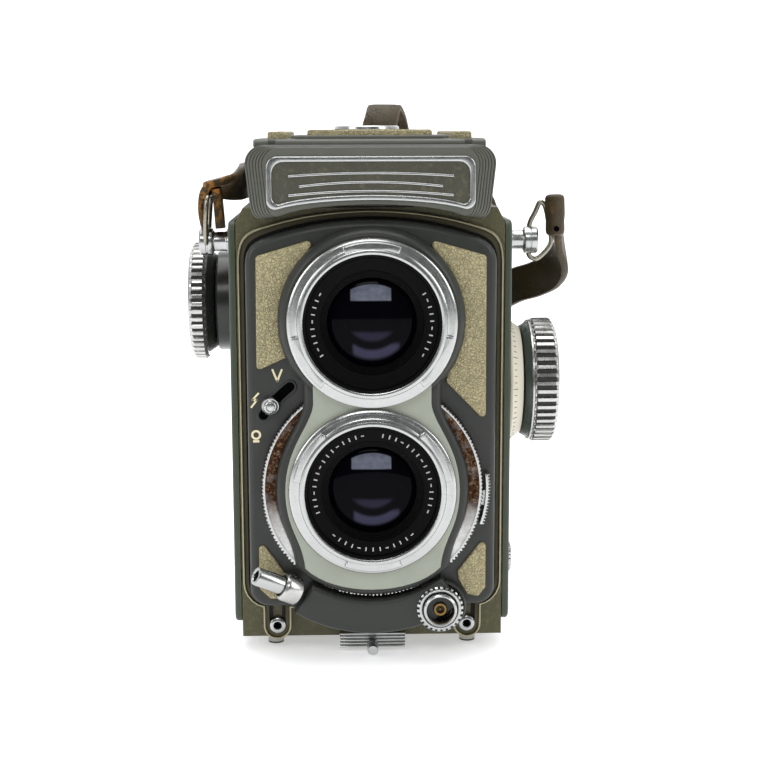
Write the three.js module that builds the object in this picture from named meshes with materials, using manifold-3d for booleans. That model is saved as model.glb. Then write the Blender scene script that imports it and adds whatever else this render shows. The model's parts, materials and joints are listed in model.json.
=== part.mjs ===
// A 4 x 4 cm twin lens reflex camera on its feet, with the hood folded and the neck strap behind it.
// Millimetres. +X is to the right as the lenses are faced, -Y is the lens side, +Z is up.
// The origin is on the floor, under the middle of the camera.
import * as THREE from "three";
import { mergeVertices } from "three/addons/utils/BufferGeometryUtils.js";
import Module from "manifold-3d";

const wasm = await Module();
wasm.setup();

// ---------- driving dimensions ----------
const GAP = 0.3; // clearance between touching pieces

const BODY_HALF = 29.3; // half width of the casting
const BODY_FRONT = -23.6;
const BODY_REAR = 34.2;
const TRIM_FRONT = -25.2;
const NOSE_REAR = -20.0; // the casting reaches down to the door's level in front of this
const BODY_BOTTOM = 6.0;
const BODY_TOP = 100.0;
const SHOULDER = 1.6; // chamfer along the top side edges
const WALL = 2.1;
const MIRROR_BED = 78; // height above the depth, along the sloping bed of the mirror

const COVER_OUT = 31.0; // outer face of the side covers
const COVER_BOTTOM = 6.4;
const COVER_TOP = 97.2;

const TAKING_Z = 39.5; // lens axes above the floor
const VIEWING_Z = 76.25;
const RING_R = 18.15; // outside radius of both bayonet rings
const GLASS_R = 11.0;

const STANDARD_HALF = 27.1;
const STANDARD_FRONT = -30.0;
const STANDARD_BACK = -24.2;
const STANDARD_BOTTOM = 12.2;
const STANDARD_TOP = 97.6; // crown of the arch
const STANDARD_SPRING = 88.0; // height where the arch leaves the sides
const LOBE_R = 32.7; // lower bulge, about the taking lens
const FOCUS_TRAVEL = 3.8;

const HOUSING_FRONT = -33.7;
const RING_FRONT = -32.4; // knurled speed ring
const RING_BACK = -31.2;
const SPEED_R = 24.3;
const SPEED_BORE = 19.8;
const SLOT_R = 28.5; // radius of the synchroniser slot
const SLOT_FROM = 128.5; // degrees, seen from the front, from +X
const SLOT_TO = 145.6;
const SYNC_AT = 140.2;

const SOCKET_X = 14.75;
const SOCKET_Z = 12.6;
const SCREW_X = 21.4;
const SCREW_Z = 6.2;

const PLATE_HALF = 26.8; // nameplate housing
const PLATE_FRONT = -31.2;
const PLATE_TOP = 113.5;
const PLATE_CORNER = 97.7; // lowest point of its two lower corners

const HOOD_HALF = 25.6;
const HOOD_FRONT = -23.0;
const HOOD_REAR = 31.2;
const HOOD_TOP = 112.6;
const HOOD_WALL = 1.2;
const LID_TOP = 114.8;
const LID_AXIS_Y = -24.0;
const LID_AXIS_Z = 113.6;
const FLAP_AXIS_X = 23.6; // hinge lines of the two side walls
const FLAP_AXIS_Z = 103.6;
const FLAP_REACH = 23.2;
const BACK_AXIS_Y = 29.2;
const BACK_AXIS_Z = 109.6;
const BACK_REACH = 26.6;
const SHEET = 0.8; // thickness of the hood's folding walls

const KNOB_FACE = 42.6;
const ADVANCE_Y = 14.35;
const ADVANCE_Z = 75.8;
const ADVANCE_R = 14.15;
const FOCUS_Y = -6.75;
const FOCUS_Z = 59.2;
const FOCUS_R = 14.4;
const CAM_LOW = 2.4; // radius of the focusing cams, before and after the rise
const CAM_TURN = 270;
const CAM_X = 24.3; // the two cams and their followers, either side of the middle
const SPOOL_R = 8.4;
const LOWER_SPOOL_Y = 0;
const LOWER_SPOOL_Z = 14.8;

const DOOR_REAR = 37.8;
const DOOR_INNER = 34.5;
const DOOR_BOTTOM = 3.4;
const DOOR_FLOOR = 5.7;
const FOOT_Y = -17.2;
const HINGE_Y = 37.2;
const HINGE_Z = 98.6;

const STUD_Y = -6.0;
const STUD_Z = 91.6;
const BAIL_WIRE = 0.55;

const STRAP_WIDTH = 8.7;
const STRAP_THICK = 2.0;

// ---------- geometry helpers ----------
function solidOf(geometry) {
  const bare = geometry.clone();
  bare.deleteAttribute("normal");
  bare.deleteAttribute("uv");
  const merged = mergeVertices(bare, 1e-4);
  const triVerts = new Uint32Array(merged.index.array);
  const vertProperties = merged.attributes.position.array;
  const solid = new wasm.Manifold(new wasm.Mesh({ numProp: 3, vertProperties, triVerts }));
  if (solid.volume() >= 0) return solid;
  for (let i = 0; i < triVerts.length; i += 3) {
    const first = triVerts[i];
    triVerts[i] = triVerts[i + 1];
    triVerts[i + 1] = first;
  }
  return new wasm.Manifold(new wasm.Mesh({ numProp: 3, vertProperties, triVerts }));
}

function geometryOf(solid) {
  const mesh = solid.getMesh();
  const positions = new Float32Array(mesh.numVert * 3);
  for (let i = 0; i < mesh.numVert; i++) {
    for (let k = 0; k < 3; k++) positions[3 * i + k] = mesh.vertProperties[i * mesh.numProp + k];
  }
  const geometry = new THREE.BufferGeometry();
  geometry.setAttribute("position", new THREE.BufferAttribute(positions, 3));
  geometry.setIndex(new THREE.BufferAttribute(new Uint32Array(mesh.triVerts), 1));
  geometry.computeVertexNormals();
  return geometry;
}

function join(...pieces) {
  return geometryOf(pieces.map(solidOf).reduce((whole, piece) => whole.add(piece)));
}

function cut(base, ...tools) {
  return geometryOf(tools.map(solidOf).reduce((left, tool) => left.subtract(tool), solidOf(base)));
}

function block(x0, x1, y0, y1, z0, z1) {
  const geometry = new THREE.BoxGeometry(x1 - x0, y1 - y0, z1 - z0);
  return geometry.translate((x0 + x1) / 2, (y0 + y1) / 2, (z0 + z1) / 2);
}

function drumX(radius, x0, x1, y, z, segments = 28, endRadius = radius) {
  const geometry = new THREE.CylinderGeometry(endRadius, radius, x1 - x0, segments);
  return geometry.rotateZ(-Math.PI / 2).translate((x0 + x1) / 2, y, z);
}

function drumY(radius, y0, y1, x, z, segments = 32) {
  return new THREE.CylinderGeometry(radius, radius, y1 - y0, segments).translate(x, (y0 + y1) / 2, z);
}

function drumZ(radius, z0, z1, x, y, segments = 24) {
  const geometry = new THREE.CylinderGeometry(radius, radius, z1 - z0, segments);
  return geometry.rotateX(Math.PI / 2).translate(x, y, (z0 + z1) / 2);
}

// A cylinder from one point along a direction.
function drumAlong(radius, start, direction, from, to, segments = 22) {
  const geometry = new THREE.CylinderGeometry(radius, radius, to - from, segments);
  geometry.translate(0, (from + to) / 2, 0);
  const turn = new THREE.Quaternion().setFromUnitVectors(new THREE.Vector3(0, 1, 0), direction);
  return geometry.applyQuaternion(turn).translate(start.x, start.y, start.z);
}

// Turned piece about an axis along Y: the profile is a closed list of [radius, y].
function turnedY(profile, x, z, segments = 56) {
  const points = profile.map(([radius, y]) => new THREE.Vector2(radius, y));
  if (profile[0][0] > 0) points.push(points[0].clone());
  return new THREE.LatheGeometry(points, segments).translate(x, 0, z);
}

// A shape drawn in x and z, given a thickness from yFront to yRear.
function plateXZ(shape, yFront, yRear, curveSegments = 7) {
  const geometry = new THREE.ExtrudeGeometry(shape, {
    depth: yRear - yFront,
    bevelEnabled: false,
    curveSegments,
  });
  return geometry.rotateX(Math.PI / 2).translate(0, yRear, 0);
}

// A shape drawn in y and z, given a thickness from x0 to x1.
function plateYZ(shape, x0, x1, curveSegments = 6) {
  const geometry = new THREE.ExtrudeGeometry(shape, { depth: x1 - x0, bevelEnabled: false, curveSegments });
  const basis = new THREE.Matrix4().makeBasis(
    new THREE.Vector3(0, 1, 0),
    new THREE.Vector3(0, 0, 1),
    new THREE.Vector3(1, 0, 0),
  );
  return geometry.applyMatrix4(basis).translate(x0, 0, 0);
}

function polygon(points) {
  return new THREE.Shape(points.map(([u, v]) => new THREE.Vector2(u, v)));
}

function roundedRect(u0, u1, v0, v1, radius) {
  const shape = new THREE.Shape();
  shape.moveTo(u0 + radius, v0);
  shape.lineTo(u1 - radius, v0);
  shape.absarc(u1 - radius, v0 + radius, radius, -Math.PI / 2, 0);
  shape.lineTo(u1, v1 - radius);
  shape.absarc(u1 - radius, v1 - radius, radius, 0, Math.PI / 2);
  shape.lineTo(u0 + radius, v1);
  shape.absarc(u0 + radius, v1 - radius, radius, Math.PI / 2, Math.PI);
  shape.lineTo(u0, v0 + radius);
  shape.absarc(u0 + radius, v0 + radius, radius, Math.PI, 1.5 * Math.PI);
  return shape;
}

function toothed(root, tip, count, u = 0, v = 0, from = 0, to = 360, profile = [[0, root], [0.5, tip]]) {
  const points = [];
  const step = (to - from) / count;
  for (let i = 0; i < count; i++) {
    for (const [share, radius] of profile) {
      const angle = THREE.MathUtils.degToRad(from + (i + share) * step);
      points.push([u + radius * Math.cos(angle), v + radius * Math.sin(angle)]);
    }
  }
  return points;
}

function sector(inner, outer, from, to, u, v) {
  const a = THREE.MathUtils.degToRad(from);
  const b = THREE.MathUtils.degToRad(to);
  const shape = new THREE.Shape();
  shape.absarc(u, v, outer, a, b, false);
  shape.absarc(u, v, inner, b, a, true);
  shape.closePath();
  return shape;
}

function polar(radius, degrees) {
  const angle = THREE.MathUtils.degToRad(degrees);
  return [radius * Math.cos(angle), TAKING_Z + radius * Math.sin(angle)];
}

// ---------- materials ----------
const SLOTS = {
  wrinkle_paint: [0x565a3c, 0.75, 0.1],
  cover_paint: [0x58685c, 0.5, 0.1],
  charcoal_paint: [0x45473f, 0.45, 0.1],
  grey_paint: [0x555c58, 0.4, 0.1],
  satin_chrome: [0xc4c6c2, 0.3, 1.0],
  silver_paint: [0xbec3b9, 0.4, 0.6],
  polished_aluminium: [0xd0d0cc, 0.25, 1.0],
  bare_aluminium: [0xb9b6a4, 0.45, 0.9],
  black_metal: [0x161616, 0.5, 0.5],
  coated_glass: [0x0c0b14, 0.05, 0.0],
  mirror_glass: [0xe0e4e8, 0.05, 1.0],
  ground_glass: [0xd8dcd8, 0.6, 0.0],
  leatherette: [0xb2ac84, 0.8, 0.0],
  strap_leather: [0x3a2f1e, 0.8, 0.0],
  steel_wire: [0x8e8c80, 0.35, 1.0],
  cream_scale: [0xd8d4c4, 0.5, 0.0],
};
const materials = {};
for (const [slot, [color, roughness, metalness]] of Object.entries(SLOTS)) {
  materials[slot] = { color, roughness, metalness };
}

const camera = new THREE.Group();

function add(name, slot, geometry) {
  const material = new THREE.MeshStandardMaterial(materials[slot]);
  const mesh = new THREE.Mesh(geometryOf(solidOf(geometry)), material);
  mesh.name = name;
  camera.add(mesh);
  return mesh;
}

// ---------- body ----------
// Outline of the lens standard, grown by an offset.
function standardOutline(offset) {
  const half = STANDARD_HALF + offset;
  const bottom = STANDARD_BOTTOM - offset;
  const crown = STANDARD_TOP + offset;
  const corner = 4 + offset;
  const shape = new THREE.Shape();
  shape.moveTo(-half + corner, bottom);
  shape.lineTo(half - corner, bottom);
  shape.absarc(half - corner, bottom + corner, corner, -Math.PI / 2, 0);
  shape.lineTo(half, STANDARD_SPRING);
  const shoulder = STANDARD_SPRING + 6 + offset;
  shape.bezierCurveTo(half, shoulder - 2.4, half - 1.6, shoulder - 1, half - 5, shoulder);
  shape.bezierCurveTo(half - 12, shoulder + 2.4, 8, crown, 0, crown);
  shape.bezierCurveTo(-8, crown, -half + 12, shoulder + 2.4, -half + 5, shoulder);
  shape.bezierCurveTo(-half + 1.6, shoulder - 1, -half, shoulder - 2.4, -half, STANDARD_SPRING);
  shape.lineTo(-half, bottom + corner);
  shape.absarc(-half + corner, bottom + corner, corner, Math.PI, 1.5 * Math.PI);
  return shape;
}

function bodyCasting() {
  const outer = polygon([
    [-BODY_HALF, BODY_BOTTOM],
    [BODY_HALF, BODY_BOTTOM],
    [BODY_HALF, BODY_TOP - 2 * SHOULDER],
    [BODY_HALF - SHOULDER, BODY_TOP],
    [-BODY_HALF + SHOULDER, BODY_TOP],
    [-BODY_HALF, BODY_TOP - 2 * SHOULDER],
  ]);
  const inside = BODY_HALF - WALL;
  const viewing = polygon([
    [BODY_FRONT + WALL, BODY_TOP - WALL],
    [BODY_FRONT + WALL, BODY_FRONT + WALL + MIRROR_BED],
    [BODY_TOP - WALL - MIRROR_BED, BODY_TOP - WALL],
  ]);
  const lensCone = new THREE.CylinderGeometry(
    21.4 * Math.SQRT2, 9.2 * Math.SQRT2, 28.4 - BODY_FRONT - WALL, 4, 1, false, Math.PI / 4,
  ).translate(0, (28.4 + BODY_FRONT + WALL) / 2, TAKING_Z);
  const cavities = [
    plateYZ(viewing, -20.6, 20.6),
    block(-20.4, 20.4, -20.4, 19.6, BODY_TOP - 2 * WALL, BODY_TOP + 1),
    lensCone,
    drumY(10.6, BODY_FRONT - 1, BODY_FRONT + 6.6, 0, TAKING_Z),
    drumY(12.4, BODY_FRONT - 1, BODY_FRONT + 3, 0, VIEWING_Z),
    drumX(SPOOL_R + 0.9, -inside, inside, ADVANCE_Y, ADVANCE_Z),
    block(-inside, inside, ADVANCE_Y, BODY_REAR + 1, ADVANCE_Z - SPOOL_R - 0.9, ADVANCE_Z + SPOOL_R + 0.9),
    block(-inside, inside, 28.4, BODY_REAR + 1, BODY_BOTTOM - 1, ADVANCE_Z),
    drumX(SPOOL_R + 0.6, -inside, inside, LOWER_SPOOL_Y, LOWER_SPOOL_Z),
    block(-inside, inside, LOWER_SPOOL_Y - 9, BODY_REAR + 1, BODY_BOTTOM - 1, LOWER_SPOOL_Z),
    block(-inside, inside, LOWER_SPOOL_Y, BODY_REAR + 1, LOWER_SPOOL_Z - 2, 17.4),
    drumX(3.0, -inside, BODY_HALF + 1, FOCUS_Y, FOCUS_Z, 24),
    drumX(3.0, -BODY_HALF - 1, -inside + 1, ADVANCE_Y, ADVANCE_Z, 24),
    drumX(2.6, inside - 1, BODY_HALF + 1, ADVANCE_Y, ADVANCE_Z, 24),
    drumX(2.6, inside - 1, BODY_HALF + 1, LOWER_SPOOL_Y, LOWER_SPOOL_Z, 24),
  ];
  for (const side of [-1, 1]) {
    const x = side * CAM_X;
    cavities.push(drumX(7.2, x - 1.6, x + 1.6, FOCUS_Y, FOCUS_Z));
    cavities.push(drumY(1.8, BODY_FRONT - 1, FOCUS_Y, x, FOCUS_Z, 20));
    cavities.push(drumY(1.0, BODY_FRONT - 1, BODY_FRONT + 6, side * SCREW_X, SCREW_Z, 20));
  }
  const nose = block(-BODY_HALF, BODY_HALF, BODY_FRONT, NOSE_REAR, DOOR_BOTTOM, BODY_BOTTOM + 1);
  return cut(join(plateXZ(outer, BODY_FRONT, BODY_REAR), nose), ...cavities);
}

// The light trim stands round the standard, with a round pocket at each corner screw.
function frontTrim() {
  const area = (offset, radius, front, rear) => {
    const pieces = [plateXZ(standardOutline(offset), front, rear)];
    for (const x of [-SCREW_X, SCREW_X]) {
      pieces.push(block(x - radius, x + radius, front, rear, SCREW_Z, STANDARD_BOTTOM));
      pieces.push(drumY(radius, front, rear, x, SCREW_Z, 28));
    }
    return join(...pieces);
  };
  const rear = BODY_FRONT - GAP;
  return cut(area(2.1, 3.3, TRIM_FRONT, rear), area(1.0, 2.4, TRIM_FRONT - 1, rear + 1));
}

add("body_casting", "wrinkle_paint", bodyCasting());
add("front_trim", "bare_aluminium", frontTrim());

for (const side of [-1, 1]) {
  const x0 = side > 0 ? BODY_HALF + GAP : -COVER_OUT;
  const x1 = side > 0 ? COVER_OUT : -BODY_HALF - GAP;
  const outline = roundedRect(BODY_FRONT, BODY_REAR - 0.4, COVER_BOTTOM, COVER_TOP, 2.5);
  const holes = [];
  if (side > 0) {
    holes.push(drumX(3.0, x0 - 1, x1 + 1, FOCUS_Y, FOCUS_Z, 24));
    holes.push(drumX(2.6, x0 - 1, x1 + 1, ADVANCE_Y, ADVANCE_Z, 24));
    holes.push(drumX(2.6, x0 - 1, x1 + 1, LOWER_SPOOL_Y, LOWER_SPOOL_Z, 24));
  } else {
    holes.push(drumX(3.0, x0 - 1, x1 + 1, ADVANCE_Y, ADVANCE_Z, 24));
  }
  const name = side > 0 ? "side_cover_right" : "side_cover_left";
  add(name, "cover_paint", cut(plateYZ(outline, x0, x1, 6), ...holes));

  const screw = turnedY(
    [[0, BODY_FRONT + 3.2], [0.75, BODY_FRONT + 3.2], [0.75, BODY_FRONT - GAP], [1.5, BODY_FRONT - GAP],
      [1.5, -25.0], [0.6, -25.0], [0.6, -24.3], [0, -24.3]],
    side * SCREW_X, SCREW_Z, 18,
  );
  add(side > 0 ? "corner_screw_right" : "corner_screw_left", "satin_chrome", screw);

  // The stud's head has a cross hole for the bail: along Y at the left, along Z at the right.
  const reach = side * (COVER_OUT + GAP);
  const turned = [[0, 0], [3.4, 0], [3.4, 0.9], [2.2, 0.9], [2.2, 4.2], [3.1, 4.2], [3.1, 7.4], [0, 7.4]];
  const stud = new THREE.LatheGeometry(turned.map(([r, h]) => new THREE.Vector2(r, h)), 22)
    .rotateZ(-side * Math.PI / 2)
    .translate(reach, STUD_Y, STUD_Z);
  const holeX = side * 36.9;
  const hole = side > 0
    ? drumZ(1.0, STUD_Z - 5, STUD_Z + 5, holeX, STUD_Y, 20)
    : drumY(1.0, STUD_Y - 5, STUD_Y + 5, holeX, STUD_Z, 20);
  add(side > 0 ? "strap_stud_right" : "strap_stud_left", "satin_chrome", cut(stud, hole));
}

// A closed wire loop through the given points.
function wireLoop(points) {
  const curve = new THREE.CatmullRomCurve3(points.map((p) => new THREE.Vector3(...p)), true, "centripetal");
  const section = new THREE.Shape();
  section.absarc(0, 0, BAIL_WIRE, 0, 2 * Math.PI);
  const options = { steps: 36, extrudePath: curve, curveSegments: 2, bevelEnabled: false };
  return new THREE.ExtrudeGeometry(section, options);
}

add("strap_bail_left", "steel_wire", wireLoop([
  [-36.9, STUD_Y - 3.6, STUD_Z], [-36.9, STUD_Y, STUD_Z], [-36.9, STUD_Y + 3.6, STUD_Z],
  [-36.8, STUD_Y + 5.2, STUD_Z + 4], [-36.4, STUD_Y + 5.4, STUD_Z + 9.2],
  [-36.3, STUD_Y + 4.2, STUD_Z + 10.4], [-36.3, STUD_Y, STUD_Z + 10.6],
  [-36.3, STUD_Y - 4.2, STUD_Z + 10.4],
  [-36.4, STUD_Y - 5.4, STUD_Z + 9.2], [-36.8, STUD_Y - 5.2, STUD_Z + 4],
]));
add("strap_bail_right", "steel_wire", wireLoop([
  [36.9, STUD_Y, STUD_Z + 3.6], [36.9, STUD_Y, STUD_Z], [36.9, STUD_Y, STUD_Z - 3.6],
  [38.4, STUD_Y, STUD_Z - 4.4], [41.2, STUD_Y, STUD_Z - 2.0], [41.9, STUD_Y, STUD_Z - 0.4],
  [41.3, STUD_Y, STUD_Z + 3.6], [40.2, STUD_Y, STUD_Z + 8.0], [39.3, STUD_Y, STUD_Z + 8.6],
  [38.2, STUD_Y, STUD_Z + 6.4],
]));

// ---------- nameplate ----------
function nameplateHousing() {
  const shape = new THREE.Shape();
  const half = PLATE_HALF;
  shape.moveTo(-half + 0.9, 101.5);
  shape.bezierCurveTo(-half + 1.2, PLATE_CORNER, -half + 3, PLATE_CORNER, -half + 4.2, PLATE_CORNER + 0.5);
  shape.bezierCurveTo(-14, 101.5, 14, 101.5, half - 4.2, PLATE_CORNER + 0.5);
  shape.bezierCurveTo(half - 3, PLATE_CORNER, half - 1.2, PLATE_CORNER, half - 0.9, 101.5);
  shape.lineTo(half, PLATE_TOP - 4);
  shape.absarc(half - 4, PLATE_TOP - 4, 4, 0, Math.PI / 2);
  shape.lineTo(-half + 4, PLATE_TOP);
  shape.absarc(-half + 4, PLATE_TOP - 4, 4, Math.PI / 2, Math.PI);
  const foot = block(-40, 40, BODY_FRONT - GAP, HOOD_FRONT, 90, BODY_TOP + 0.9);
  const hinge = block(-25.3, 25.3, LID_AXIS_Y - 1.4, -20, 106.6, 120);
  const recess = plateXZ(plateFrameOutline(0.3), PLATE_FRONT - 1, PLATE_FRONT + 0.8, 8);
  return cut(plateXZ(shape, PLATE_FRONT, HOOD_FRONT - GAP, 10), foot, hinge, recess);
}

function plateFrameOutline(offset) {
  const half = 22.2 + offset;
  const top = 111.2 + offset;
  const side = 99.9 - offset;
  const shape = new THREE.Shape();
  shape.moveTo(-half + 2, side);
  shape.bezierCurveTo(-12, side + 2.6, 12, side + 2.6, half - 2, side);
  shape.absarc(half - 2, side + 2, 2, -Math.PI / 2, 0);
  shape.lineTo(half, top - 2.4);
  shape.absarc(half - 2.4, top - 2.4, 2.4, 0, Math.PI / 2);
  shape.lineTo(-half + 2.4, top);
  shape.absarc(-half + 2.4, top - 2.4, 2.4, Math.PI / 2, Math.PI);
  shape.lineTo(-half, side + 2);
  shape.absarc(-half + 2, side + 2, 2, Math.PI, 1.5 * Math.PI);
  return shape;
}

add("nameplate_housing", "grey_paint", nameplateHousing());
add("nameplate_frame", "satin_chrome",
  plateXZ(plateFrameOutline(0), PLATE_FRONT - 0.4, PLATE_FRONT + 0.5, 8));

// ---------- finder, film gate and film transport ----------
function hoodBase() {
  const outer = block(-HOOD_HALF, HOOD_HALF, HOOD_FRONT, HOOD_REAR, BODY_TOP + GAP, HOOD_TOP);
  const tray = block(
    -HOOD_HALF + HOOD_WALL, HOOD_HALF - HOOD_WALL,
    HOOD_FRONT + HOOD_WALL, HOOD_REAR - HOOD_WALL, 102.4, 120,
  );
  const window = block(-20.4, 20.4, -20.4, 19.6, 90, 120);
  const ears = [-1, 1].map((side) => join(
    block(side * 23.4 - 1.4, side * 23.4 + 1.4, LID_AXIS_Y - 1.0, HOOD_FRONT + 0.6, 107, LID_AXIS_Z),
    drumX(1.0, side * 23.4 - 1.4, side * 23.4 + 1.4, LID_AXIS_Y, LID_AXIS_Z, 20),
  ));
  return join(cut(outer, tray, window), ...ears);
}

add("hood_base", "grey_paint", hoodBase());
add("focusing_screen", "ground_glass", block(-20.1, 20.1, -20.1, 19.3, BODY_TOP - 1.2, BODY_TOP + 1.6));

function mirror() {
  const front = BODY_FRONT + WALL + 1.2;
  const rear = 17.4;
  const shape = polygon([
    [front, front + MIRROR_BED + 0.5],
    [rear, rear + MIRROR_BED + 0.5],
    [rear, rear + MIRROR_BED + 2.2],
    [front, front + MIRROR_BED + 2.2],
  ]);
  return plateYZ(shape, -20.2, 20.2);
}
add("mirror", "mirror_glass", mirror());

add("film_gate", "black_metal", cut(
  block(-26.8, 26.8, 28.7, 30.0, TAKING_Z - 21.8, TAKING_Z + 21.8),
  block(-20, 20, 28, 31, TAKING_Z - 20, TAKING_Z + 20),
));
for (const [name, z] of [["film_roller_lower", TAKING_Z - 24.4], ["film_roller_upper", TAKING_Z + 24.6]]) {
  add(name, "polished_aluminium", join(
    drumX(0.8, -26.8, 26.8, 30.6, z, 16),
    drumX(1.7, -24, 24, 30.6, z, 24),
  ));
}

function spool() {
  return join(
    drumX(3.0, -25.4, 24.2, ADVANCE_Y, ADVANCE_Z, 24),
    drumX(SPOOL_R, -24.6, -23.4, ADVANCE_Y, ADVANCE_Z, 36),
    drumX(SPOOL_R, 22.6, 23.8, ADVANCE_Y, ADVANCE_Z, 36),
  );
}
add("take_up_spool", "black_metal", cut(
  spool(),
  drumX(1.9, 20, 30, ADVANCE_Y, ADVANCE_Z, 20),
  drumX(1.9, -30, -22, ADVANCE_Y, ADVANCE_Z, 20),
));
for (const [name, y, z] of [
  ["spool_pin_upper", ADVANCE_Y, ADVANCE_Z], ["spool_pin_lower", LOWER_SPOOL_Y, LOWER_SPOOL_Z],
]) {
  add(name, "satin_chrome", join(
    drumX(1.5, 22.4, COVER_OUT + 1, y, z, 20),
    drumX(2.2, 26.0, COVER_OUT + 1, y, z, 24),
    drumX(3.6, COVER_OUT + GAP, COVER_OUT + 2.9, y, z, 32),
  ));
}

// ---------- knobs ----------
function ridgedRim(x0, x1, radius, y, z, count) {
  const shape = polygon(toothed(radius - 0.7, radius, count, y, z));
  return plateYZ(shape, x0, x1);
}

add("advance_hub", "grey_paint", cut(
  drumX(12.0, -36.2, -COVER_OUT - GAP, ADVANCE_Y, ADVANCE_Z, 36),
  drumX(3.0, -37, -30, ADVANCE_Y, ADVANCE_Z, 24),
));
add("advance_knob", "polished_aluminium", join(
  drumX(12.6, -38.9, -36.5, ADVANCE_Y, ADVANCE_Z, 36, 11.2),
  ridgedRim(-41.9, -38.7, ADVANCE_R, ADVANCE_Y, ADVANCE_Z, 48),
  drumX(12.4, -KNOB_FACE, -41.8, ADVANCE_Y, ADVANCE_Z, 36, 13.2),
  drumX(2.5, -37, -25.8, ADVANCE_Y, ADVANCE_Z, 24),
  drumX(1.6, -37, -22.6, ADVANCE_Y, ADVANCE_Z, 20),
));
add("focus_scale_skirt", "cream_scale", cut(
  drumX(14.2, COVER_OUT + GAP, 34.5, FOCUS_Y, FOCUS_Z, 36, 12.4),
  drumX(2.9, 30, 36, FOCUS_Y, FOCUS_Z, 24),
));
add("focus_knob", "polished_aluminium", cut(
  join(
    drumX(11.8, 34.8, 36.6, FOCUS_Y, FOCUS_Z, 36, 13.6),
    ridgedRim(36.5, 41.8, FOCUS_R, FOCUS_Y, FOCUS_Z, 48),
    drumX(13.6, 41.7, KNOB_FACE, FOCUS_Y, FOCUS_Z, 36, 12.6),
  ),
  drumX(2.9, 34, 40, FOCUS_Y, FOCUS_Z, 24),
));

// Spiral cam: its radius towards the lens standard grows by the focusing travel in CAM_TURN degrees.
function camOutline() {
  const points = [];
  const steps = 45;
  for (let i = 0; i <= steps; i++) {
    const share = i / steps;
    const angle = THREE.MathUtils.degToRad(180 + CAM_TURN * share + 12 * (share === 0 ? -1 : 0));
    const radius = CAM_LOW + FOCUS_TRAVEL * share;
    points.push([FOCUS_Y + radius * Math.cos(angle), FOCUS_Z + radius * Math.sin(angle)]);
  }
  return polygon(points);
}
add("focus_shaft", "bare_aluminium", join(
  drumX(2.2, -26.8, 39.6, FOCUS_Y, FOCUS_Z, 24),
  ...[-1, 1].map((side) => plateYZ(camOutline(), side * CAM_X - 1.2, side * CAM_X + 1.2)),
));

// ---------- back door ----------
function backDoor() {
  const front = NOSE_REAR + GAP;
  const profile = new THREE.Shape();
  profile.moveTo(front, DOOR_BOTTOM);
  profile.lineTo(DOOR_REAR - 5, DOOR_BOTTOM);
  profile.absarc(DOOR_REAR - 5, DOOR_BOTTOM + 5, 5, -Math.PI / 2, 0);
  profile.lineTo(DOOR_REAR, 96);
  profile.lineTo(DOOR_INNER, 96);
  profile.lineTo(DOOR_INNER, DOOR_FLOOR);
  profile.lineTo(front, DOOR_FLOOR);
  const pieces = [
    plateYZ(profile, -BODY_HALF, BODY_HALF, 6),
    block(-11, 11, DOOR_INNER + 0.4, DOOR_REAR, 95.5, HINGE_Z),
    drumX(1.3, -11, 11, HINGE_Y, HINGE_Z, 20),
    block(-7, 7, BODY_FRONT, front + 4, 1.2, DOOR_BOTTOM - GAP),
    block(-7, 7, front, front + 4, 1.2, DOOR_BOTTOM + 0.5),
  ];
  for (const side of [-1, 1]) {
    pieces.push(drumZ(1.8, 0, DOOR_BOTTOM + 0.4, side * 22.1, FOOT_Y, 20));
    pieces.push(drumZ(2.4, 0, DOOR_BOTTOM + 0.4, side * 22, 26, 20));
  }
  return cut(join(...pieces), drumZ(6.2, 0, 8, 0, 6, 32));
}
add("back_door", "wrinkle_paint", backDoor());
add("back_door_leather", "leatherette", plateXZ(
  roundedRect(-27, 27, 11, 93, 3), DOOR_REAR + GAP, DOOR_REAR + 0.8, 5,
));
add("pressure_plate", "black_metal", join(
  block(-22.5, 22.5, 31.1, 32.1, TAKING_Z - 21, TAKING_Z + 21),
  block(-4, 4, 32.0, 34.2, TAKING_Z - 6, TAKING_Z + 6),
));
add("tripod_socket", "satin_chrome", cut(
  drumZ(5.9, 0.6, DOOR_FLOOR, 0, 6, 40),
  drumZ(3.1, 0, 4.6, 0, 6, 28),
));
const LATCH_Y = -25.1;
function backLatch() {
  const points = [[LATCH_Y + 0.9, 1.0], [LATCH_Y + 0.9, 4.7]];
  const ridges = 5;
  const pitch = 3.7 / ridges;
  for (let i = 0; i < ridges; i++) {
    const z = 4.7 - i * pitch;
    points.push([LATCH_Y - 0.4, z]);
    points.push([LATCH_Y - 0.9, z - 0.2]);
    points.push([LATCH_Y - 0.9, z - pitch + 0.3]);
    points.push([LATCH_Y - 0.4, z - pitch + 0.12]);
  }
  const tab = plateYZ(polygon(points), -7.4, 7.4);
  const peg = drumY(1.25, -30.0, LATCH_Y, 0, 1.9, 24);
  return join(tab, peg);
}
add("back_latch", "satin_chrome", backLatch());

// ---------- lens standard ----------
const slot = sector(SLOT_R - 1.15, SLOT_R + 1.15, SLOT_FROM - 2.2, SLOT_TO + 2.2, 0, TAKING_Z);

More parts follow.
